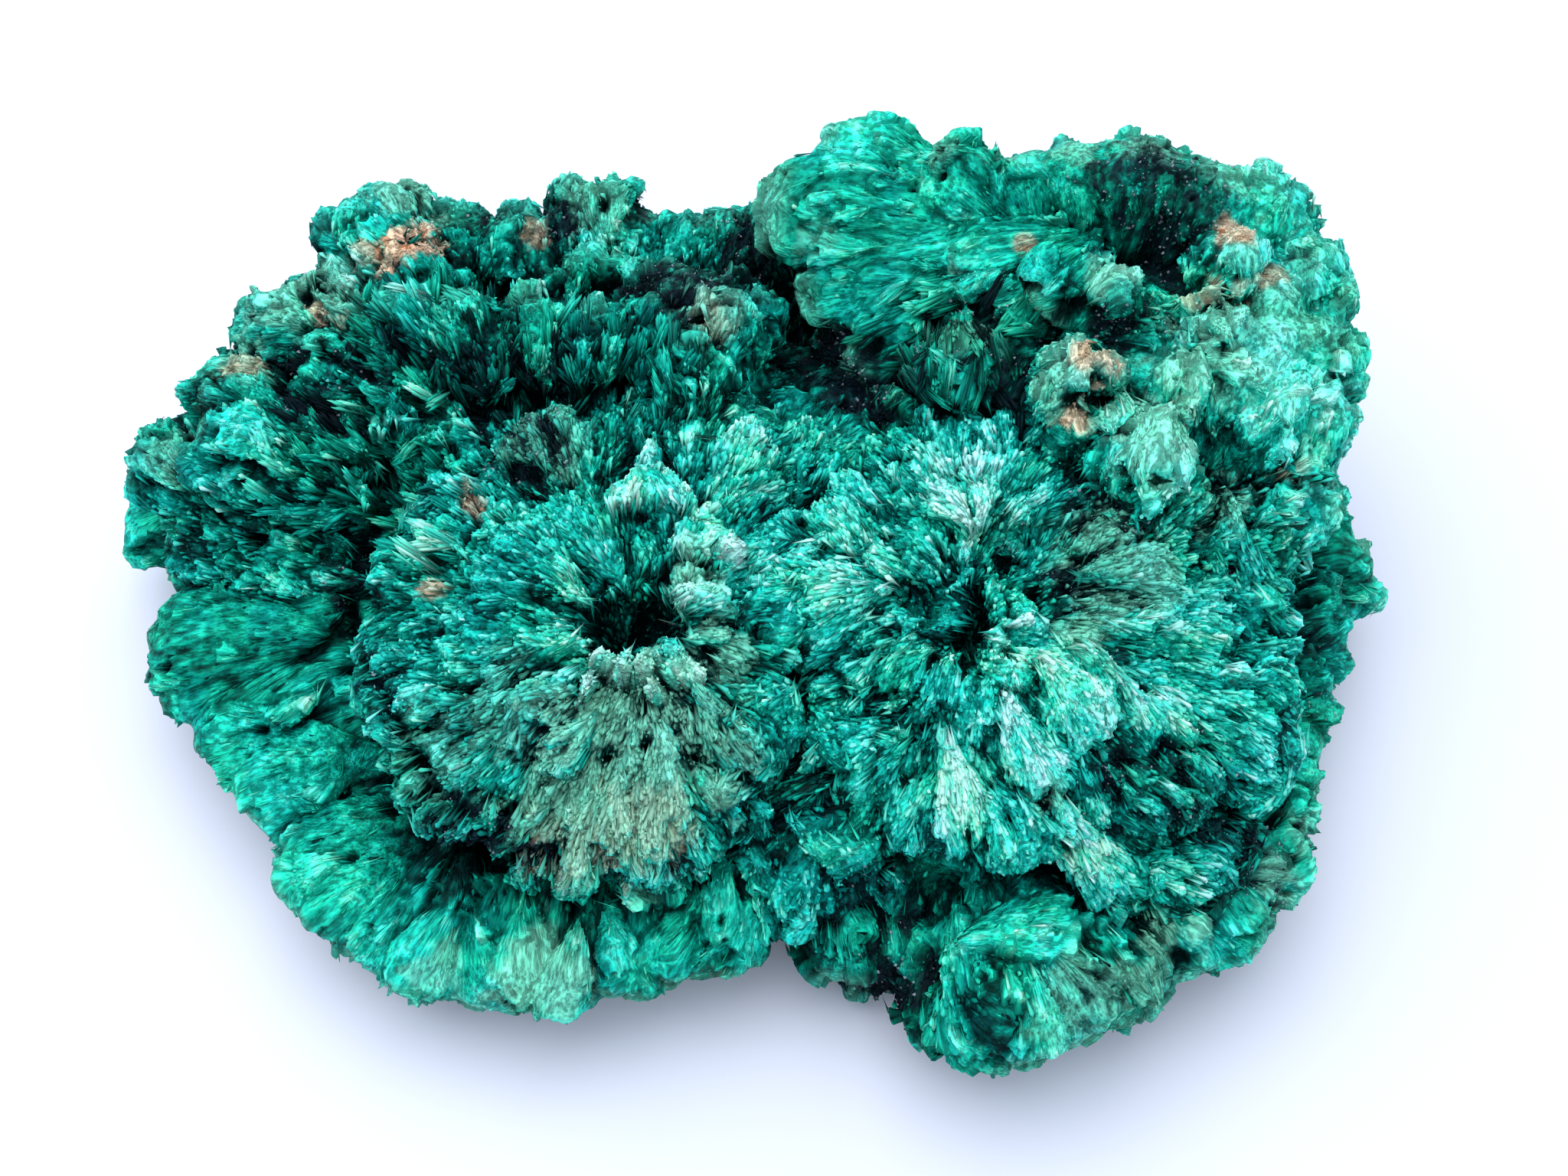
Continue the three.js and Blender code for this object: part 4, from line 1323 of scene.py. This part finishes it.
def attribute_wire(start, name, output):
    return start.node("ShaderNodeAttribute", {"attribute_name": name}, output=output)


def new_finish(name, roughness, gloss):
    material = bpy.data.materials.new(name)
    material.use_nodes = True
    tree = material.node_tree
    shader = tree.nodes["Principled BSDF"]
    shader.inputs["Roughness"].default_value = roughness
    shader.inputs["Specular IOR Level"].default_value = gloss
    return material, shader, Wire(tree, shader.outputs[0])


print("shader sums are ready")

# %% [markdown]
# The skin's finish reads its colour from the points, then adds dashes far finer than the grid. They come
# from a noise of four numbers: three say which fibre it is and the fourth how far along it, so each dash is
# about a fifth of a millimetre wide and several times as long, and runs along the fibres. The same dashes
# raise a bump, which breaks the light into the silky glints of real fibres.

# %% The skin's finish
DASHES_ACROSS = 5.5
DASHES_ALONG = 0.8
DASH_SHARE = 0.65
SPECKLES_PER_METRE = 2600.0
SKIN_SPECKLE_SHARE = 0.35
SILK_DASHES = 0.2
SILK_SOFTNESS = 0.3
SMOOTH_RAMP = {"clamp": True, "interpolation_type": "SMOOTHSTEP"}


def fibre_skin_finish():
    material, shader, start = new_finish("malachite_fibre_skin", roughness=0.5, gloss=0.04)
    colour = attribute_wire(start, "tone", "Color")
    fibres = attribute_wire(start, "fibre_map", "Vector")
    silk = attribute_wire(start, "silk", "Fac")
    far = attribute_wire(start, "travel", "Fac")
    where = start.node("ShaderNodeTexCoord", output="Object")
    stretched = start.node("ShaderNodeVectorMath", {"operation": "SCALE"}, _0=fibres, Scale=DASHES_ACROSS)
    four = {"noise_dimensions": "4D"}
    noise = dict(Detail=2.5, Roughness=0.6)
    along = far * DASHES_ALONG
    dashes = start.node("ShaderNodeTexNoise", four, Vector=stretched, W=along, Scale=1.0, **noise)
    speckle = start.node("ShaderNodeTexNoise", Vector=where, Scale=SPECKLES_PER_METRE, **noise)
    dashed = dashes * (silk * SILK_DASHES + DASH_SHARE)
    lines = dashed + speckle * (SKIN_SPECKLE_SHARE - silk * SILK_DASHES)
    limits = dict(From_Min=0.38, From_Max=0.62, To_Min=0.25, To_Max=1.6)
    contrast = start.node("ShaderNodeMapRange", SMOOTH_RAMP, Value=lines, **limits)
    softened = contrast * (1.0 - silk * SILK_SOFTNESS) + silk * SILK_SOFTNESS
    shaded = start.node("ShaderNodeVectorMath", {"operation": "SCALE"}, _0=colour, Scale=softened)
    bump = start.node("ShaderNodeBump", Height=lines, Strength=0.7, Distance=0.0005)
    start.tree.links.new(shaded.socket, shader.inputs["Base Color"])
    start.tree.links.new(bump.socket, shader.inputs["Normal"])
    return material


skin_finish = fibre_skin_finish()
skin.materials.clear()
skin.materials.append(skin_finish)
print("finish:", skin_finish.name)

# %% [markdown]
# A mesh of this fineness is heavy, so it is cut into six closed blocks that fit face to face. The cuts are
# straight: two part the left, the middle and the right, and one in each of these parts front from back.
# They are made on the smooth skin, whose cut outlines don't cross themselves, and each point then moves
# out to its grown place. Each block keeps the whole skin's normals, so no seam shows.

# %% Where the cuts run
LEFT_CUT = -15.0
RIGHT_CUT = 17.0
LEFT_BACK_CUT = 4.0
MIDDLE_BACK_CUT = 6.5
RIGHT_BACK_CUT = 2.0
FAR = 100.0
CUT_TOLERANCE = 1e-4
BLOCKS = [
    ("skirt_block", -FAR, LEFT_CUT, -FAR, LEFT_BACK_CUT),
    ("back_left_petals", -FAR, LEFT_CUT, LEFT_BACK_CUT, FAR),
    ("rosettes_block", LEFT_CUT, RIGHT_CUT, -FAR, MIDDLE_BACK_CUT),
    ("back_middle_petals", LEFT_CUT, RIGHT_CUT, MIDDLE_BACK_CUT, FAR),
    ("outer_lobes", RIGHT_CUT, FAR, -FAR, RIGHT_BACK_CUT),
    ("top_right_fans", RIGHT_CUT, FAR, RIGHT_BACK_CUT, FAR),
]
print("blocks:", len(BLOCKS))

# %% Six closed blocks
def cut_away(bm, place, outward):
    """Removes what lies beyond a plane, given in millimetres, and closes the cut."""
    everything = bm.verts[:] + bm.edges[:] + bm.faces[:]
    at = Vector(place) - Vector(ORIGIN)
    plane = dict(plane_co=at, plane_no=outward, dist=CUT_TOLERANCE)
    bmesh.ops.bisect_plane(bm, geom=everything, clear_outer=True, **plane)
    outline = [edge for edge in bm.edges if edge.is_boundary]
    bmesh.ops.triangle_fill(bm, edges=outline, use_beauty=True, use_dissolve=False, normal=outward)


def take_attribute(mesh, name):
    values = read_mesh(mesh.attributes[name].data, "vector", np.float32, 3)
    mesh.attributes.remove(mesh.attributes[name])
    return values


def cut_block(name, left, right, front, back):
    bm = bmesh.new()
    bm.from_mesh(skin)
    bmesh.ops.scale(bm, vec=Vector((1, 1, 1)) / MM, verts=bm.verts)
    cut_away(bm, (left, 0, 0), (-1, 0, 0))
    cut_away(bm, (right, 0, 0), (1, 0, 0))
    cut_away(bm, (0, front, 0), (0, -1, 0))
    cut_away(bm, (0, back, 0), (0, 1, 0))
    bmesh.ops.recalc_face_normals(bm, faces=bm.faces)
    open_edges = sum(not edge.is_manifold for edge in bm.edges)
    mesh = bpy.data.meshes.new(name)
    bm.to_mesh(mesh)
    bm.free()
    move_points(mesh, take_attribute(mesh, "grown_place"))
    mesh.polygons.foreach_set("use_smooth", np.ones(len(mesh.polygons), bool))
    mesh.normals_split_custom_set_from_vertices(unit(take_attribute(mesh, "grown_normal")))
    mesh.materials.append(skin_finish)
    block = add_object(name, mesh)
    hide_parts("malachite")
    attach(block, "root")
    mesh.calc_loop_triangles()
    print(name, "has", len(mesh.loop_triangles), "triangles and", open_edges, "open edges")


move_points(skin, smooth_points)
for block_row in BLOCKS:
    cut_block(*block_row)

# %% [markdown]
# Now the fibres themselves. One needle is modelled: a three-sided spindle, pointed at both ends and widest
# near its tip, as the blades of velvet malachite are. Tens of thousands of copies are stamped onto the skin
# as arrays, which keeps each piece one light mesh.

# %% One needle
NEEDLE_SHOULDER = 0.84


def needle_template():
    bm = bmesh.new()
    point = 1 - NEEDLE_SHOULDER
    cone = bmesh.ops.create_cone(bm, cap_ends=True, segments=3, radius1=1, radius2=0, depth=point)
    bmesh.ops.translate(bm, verts=cone["verts"], vec=(0, 0, 1 - point / 2))
    base = min(bm.faces, key=lambda face: face.calc_center_median().z)
    poked = bmesh.ops.poke(bm, faces=[base])
    poked["verts"][0].co.z = 0
    bmesh.ops.recalc_face_normals(bm, faces=bm.faces)
    return template_arrays(bm)


def template_arrays(bm):
    bm.verts.ensure_lookup_table()
    bm.verts.index_update()
    shape_corners = np.array([v.co[:] for v in bm.verts])
    shape_faces = np.array([[v.index for v in face.verts] for face in bm.faces])
    bm.free()
    return shape_corners, shape_faces


needle = needle_template()
print("a needle has", len(needle[0]), "corners and", len(needle[1]), "faces")

# %% Stamping copies of a small shape
def stamp(name, template, base, axis, length, width, foot_colour, tip_colour, finish):
    """One mesh of many copies: each stands on its base along its axis, and shades from foot to tip."""
    shape_corners, shape_faces = template
    helper = np.where(np.abs(axis[:, 2:]) > NEARLY_UPRIGHT, [[1.0, 0, 0]], [[0, 0, 1.0]])
    across = unit(np.cross(axis, helper))
    third = np.cross(axis, across)
    spin = RANDOM.uniform(0, math.tau, len(base))[:, None]
    first = across * np.cos(spin) + third * np.sin(spin)
    second = np.cross(axis, first)
    x, y, z = (shape_corners[None, :, i : i + 1] for i in range(3))
    copies = base[:, None] + (first[:, None] * x + second[:, None] * y) * width[:, None, None]
    copies = copies + axis[:, None] * z * length[:, None, None]
    copies = ((copies - ORIGIN) * MM).reshape(-1, 3)
    loops = shape_faces[None] + (np.arange(len(base)) * len(shape_corners))[:, None, None]
    mesh = bpy.data.meshes.new(name)
    mesh.vertices.add(len(copies))
    mesh.vertices.foreach_set("co", copies.ravel())
    mesh.loops.add(loops.size)
    mesh.loops.foreach_set("vertex_index", loops.ravel().astype(np.int32))
    mesh.polygons.add(loops.size // 3)
    mesh.polygons.foreach_set("loop_start", np.arange(0, loops.size, 3, dtype=np.int32))
    mesh.update(calc_edges=True)
    share = np.clip(shape_corners[None, :, 2], 0, 1) * np.ones((len(base), 1))
    store_colour(mesh, "tone", blend(foot_colour[:, None], tip_colour[:, None], share).reshape(-1, 3))
    mesh.materials.append(finish)
    thing = add_object(name, mesh)
    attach(thing, "root")
    print(name, "has", len(base), "copies and", loops.size // 3, "triangles")


print("a stamped piece is one mesh of many copies")

# %% The needles' finish
def needle_finish():
    material, shader, start = new_finish("malachite_needles", roughness=0.45, gloss=0.05)
    colour = attribute_wire(start, "tone", "Color")
    start.tree.links.new(colour.socket, shader.inputs["Base Color"])
    return material


needles_finish = needle_finish()
print("finish:", needles_finish.name)

# %% [markdown]
# The carpet of fibres follows the fans. Each needle ends a fraction of a millimetre above the skin, and its
# body runs back from there against the growth, so it lies half sunk in the surface. Where the growth points
# straight out, as on the round ends, the needles stand end-on and only their points show, which reads as
# fine grain. Needles differ in lightness, so the carpet breaks into bright dashes.

# %% A carpet of needles
LEAST_RISE = (0.02, 0.2)
LENGTH_RANGE = (0.5, 1.6)
PROUD_RANGE = (0, 1.3)
SHADE_RANGE = (-0.1, 1.1)
FOOT_PAINTED_SHADE_RANGE = (0.3, 0.8)
WIDTH_RANGE = (0.6, 1.5)


def fibre_carpet(name, count, liking, length, width, proud, jitter):
    spots = places(count, liking, known)
    up, grown_way = spots["up"], spots["way"]
    rise = dot(grown_way, up)
    least = RANDOM.uniform(*LEAST_RISE, (count, 1))
    axis = grown_way + up * (np.maximum(rise, least) - rise)
    axis = unit(axis + RANDOM.normal(0, jitter, (count, 3)))
    size = length * RANDOM.uniform(*LENGTH_RANGE, count)
    tip = spots["at"] + up * (proud * RANDOM.uniform(*PROUD_RANGE, (count, 1)))
    tip_colour = colour_at(spots, RANDOM.uniform(*SHADE_RANGE, count))
    # Painted shade: each needle's foot, down by the skin, is darker than its tip.
    foot_colour = tip_colour * RANDOM.uniform(*FOOT_PAINTED_SHADE_RANGE, (count, 1))
    thick = width * RANDOM.uniform(*WIDTH_RANGE, count)
    base = tip - axis * size[:, None]
    stamp(name, needle, base, axis, size, thick, foot_colour, tip_colour, needles_finish)


print("the longest needle of a carpet is", LENGTH_RANGE[1] / LENGTH_RANGE[0], "times the shortest")

# %% Feathery fibres
FEATHER_PIECES = 3
FEATHER_NEEDLES = 23000
FEATHER_SHAPE = dict(length=1.1, width=0.16, proud=0.13, jitter=0.08)
FEATHER_FULLNESS = 1.2
BARE_CALM = 0.8

bare = np.maximum(dust, hollow)
carpeted = np.clip(feathery * FEATHER_FULLNESS, 0, 1) * (1 - BARE_CALM * bare)
for piece in range(FEATHER_PIECES):
    fibre_carpet(f"feather_fibres_{piece + 1}", FEATHER_NEEDLES, carpeted, **FEATHER_SHAPE)

# %% Silky fibres
SILK_NEEDLES = 14000
SILK_SHAPE = dict(length=1.4, width=0.08, proud=0.03, jitter=0.04)
SILK_SKY = (0.1, 0.4)

silk_likes = silky * (1 - bare) * step_up(open_sky, *SILK_SKY)
fibre_carpet("silk_fibres", SILK_NEEDLES, silk_likes, **SILK_SHAPE)

# %% [markdown]
# On the inner faces of the back petals, and in a few other deep places, the fibres grew long and stand in
# separate spears, with black gaps between them. A spear is a tight bundle of long needles that share one
# direction. Their places are listed like the marks: a pixel, a radius in pixels and a strength.

# %% Spears
SPEARS = [
    (560, 450, 80, 1.0), (650, 480, 70, 1.0), (740, 480, 60, 1.0), (430, 600, 70, 0.8), (1270, 470, 70, 0.8),
    (540, 620, 50, 0.5), (540, 700, 50, 0.5), (1180, 440, 60, 0.7), (470, 660, 50, 0.7), (860, 480, 50, 0.6),
]
SPEAR_TRIES = 840
SPEAR_GAP = 0.8
SPEAR_NEEDLES = 16
SPEAR_LEAN = 0.2
SPEAR_LEAN_SPREAD = 0.3
SPEAR_LENGTH = 2.4
SPEAR_LENGTH_SPREAD = 1.6
SPEAR_JITTER = 0.04
SPEAR_LOOSENESS = 0.16
SPEAR_LIGHT = 0.9
SPEAR_RANGES = dict(length=(0.75, 1.1), proud=(0.3, 0.5), shade=(-0.3, 0.5), width=(0.1, 0.18))
SPEAR_FOOT_PAINTED_SHADE = 0.3


def spears():
    inside = marked(smooth_points, placed(SPEARS), seed=71)
    spots = spaced(places(SPEAR_TRIES, inside, known), SPEAR_GAP)
    spots = {name: np.repeat(values, SPEAR_NEEDLES, axis=0) for name, values in spots.items()}
    count = len(spots["at"])
    first = np.arange(count) // SPEAR_NEEDLES
    spear_lean = SPEAR_LEAN + SPEAR_LEAN_SPREAD * chance(first)[:, None]
    axis = unit(flat_to(spots["up"], spots["way"]) + spots["up"] * spear_lean)
    axis = unit(axis + RANDOM.normal(0, SPEAR_JITTER, (count, 3)))
    spear_length = SPEAR_LENGTH + SPEAR_LENGTH_SPREAD * chance(first + 0.5)
    size = spear_length * RANDOM.uniform(*SPEAR_RANGES["length"], count)
    tip = spots["at"] + axis * (size * RANDOM.uniform(*SPEAR_RANGES["proud"], count))[:, None]
    tip = tip + RANDOM.normal(0, SPEAR_LOOSENESS, (count, 3))
    shade = SPEAR_LIGHT * chance(first + 0.7) + RANDOM.uniform(*SPEAR_RANGES["shade"], count)
    tip_colour = colour_at(spots, shade)
    # Painted shade: a spear's feet are much darker than its tips, deep between the spears.
    foot_colour = tip_colour * SPEAR_FOOT_PAINTED_SHADE
    base = tip - axis * size[:, None]
    thick = RANDOM.uniform(*SPEAR_RANGES["width"], count)
    stamp("spears", needle, base, axis, size, thick, foot_colour, tip_colour, needles_finish)


spears()

# %% [markdown]
# Dust and dark crystals are grains, not fibres: small blunt octahedra, pressed into the skin.

# %% One grain
GRAIN_RISE = 0.3


def grain_template():
    bm = bmesh.new()
    bmesh.ops.create_uvsphere(bm, u_segments=4, v_segments=2, radius=1)
    bmesh.ops.translate(bm, verts=bm.verts, vec=(0, 0, GRAIN_RISE))
    bmesh.ops.triangulate(bm, faces=bm.faces)
    return template_arrays(bm)


grain = grain_template()
print("a grain has", len(grain[1]), "faces")

# %% Grains of dust and dark crystal
GRAIN_COUNT = 13000
LAVENDER = linear(150, 160, 180)
LAVENDER_SHARE = 0.3
LAVENDER_LEAST_DARK = 0.3
STRAY_GRAINS = 0.08
GRAIN_TILT = 0.5
GRAIN_HEIGHT = 1.4
GRAIN_FOOT_PAINTED_SHADE = 0.8
GRAIN_RANGES = dict(size=(0.06, 0.15), shade=(0.1, 1), lavender=(0.2, 0.9), width=(0.6, 1.2))


def grains():
    clumps = patches(points, size=1.0, seed=91, low=0.45, high=0.65)
    strays = STRAY_GRAINS * (1 - habit[:, 0])
    spots = places(GRAIN_COUNT, (np.maximum(dust, dark * clumps) + strays) * above_break, known)
    size = RANDOM.uniform(*GRAIN_RANGES["size"], GRAIN_COUNT)
    colour = colour_at(spots, RANDOM.uniform(*GRAIN_RANGES["shade"], GRAIN_COUNT))
    is_lavender = RANDOM.uniform(0, 1, GRAIN_COUNT) < LAVENDER_SHARE
    is_lavender = is_lavender & (spots["dark"] > LAVENDER_LEAST_DARK)
    lavender = is_lavender * RANDOM.uniform(*GRAIN_RANGES["lavender"], GRAIN_COUNT)
    colour = blend(colour, LAVENDER, lavender)
    axis = unit(spots["up"] + RANDOM.normal(0, GRAIN_TILT, (GRAIN_COUNT, 3)))
    width = size * RANDOM.uniform(*GRAIN_RANGES["width"], GRAIN_COUNT)
    height = size * GRAIN_HEIGHT
    # Painted shade: a grain is a little darker at its foot, where it meets the skin.
    foot_colour = colour * GRAIN_FOOT_PAINTED_SHADE
    stamp("grains", grain, spots["at"], axis, height, width, foot_colour, colour, needles_finish)


grains()

# %% [markdown]
# The stage is plain: a pale floor that runs out of the picture, a bright sky and one large soft light
# overhead, a little to the left and behind, which is how a mineral is usually photographed. Low down, the sky
# takes the colour of the far floor, so that hardly a line shows where they meet.

# %% The floor
FLOOR_SIZE = 6
FLOOR_COLOUR = (0.675, 0.72, 0.87, 1)


def pale_floor():
    bm = bmesh.new()
    bmesh.ops.create_grid(bm, x_segments=1, y_segments=1, size=FLOOR_SIZE)
    mesh = bpy.data.meshes.new("floor")
    bm.to_mesh(mesh)
    bm.free()
    material, shader, _ = new_finish("pale_floor", roughness=0.6, gloss=0.5)
    shader.inputs["Base Color"].default_value = FLOOR_COLOUR
    mesh.materials.append(material)
    add_object("floor", mesh)


pale_floor()
print("the floor reaches", FLOOR_SIZE, "metres each way")

# %% The light
def soft_light(name, place, aim, size, power):
    light = bpy.data.lights.new(name, "AREA")
    light.shape = "DISK"
    light.size = size
    light.energy = power
    thing = add_object(name, light)
    thing.location = place
    thing.rotation_euler = (Vector(aim) - Vector(place)).to_track_quat("-Z", "Y").to_euler()


soft_light("overhead", place=(-0.1, 0.14, 0.45), aim=(0, 0, 0.01), size=0.7, power=2.2)

# %% The sky
SKY = (1.0, 1.02, 1.07, 1)
HORIZON = (0.68, 0.735, 0.92, 1)
HORIZON_RISE = 0.3


def studio_sky():
    world = bpy.data.worlds.new("studio_sky")
    world.use_nodes = True
    background = world.node_tree.nodes["Background"]
    start = Wire(world.node_tree, background.outputs[0])
    direction = start.node("ShaderNodeTexCoord", output="Generated")
    height = start.node("ShaderNodeSeparateXYZ", output="Z", Vector=direction)
    share = start.node("ShaderNodeMapRange", SMOOTH_RAMP, Value=height, From_Max=HORIZON_RISE)
    colour = start.node("ShaderNodeMix", {"data_type": "RGBA"}, output=2, _0=share, _6=HORIZON, _7=SKY)
    start.tree.links.new(colour.socket, background.inputs["Color"])
    bpy.context.scene.world = world


studio_sky()
bpy.context.scene.view_settings.view_transform = "Standard"
print("the stage is set")

# %% [markdown]
# The camera stands where the picture was taken from.

# %% The camera
camera_data = bpy.data.cameras.new("camera")
camera_data.lens = VIEW_LENS
camera_data.sensor_width = VIEW_SENSOR
camera_data.clip_start = 0.01
camera = add_object("camera", camera_data)
camera.location = (VIEW_FROM - ORIGIN) * MM
camera.rotation_euler = (VIEW_TILT, 0, 0)
bpy.context.scene.camera = camera
print("camera at", camera.location[:])
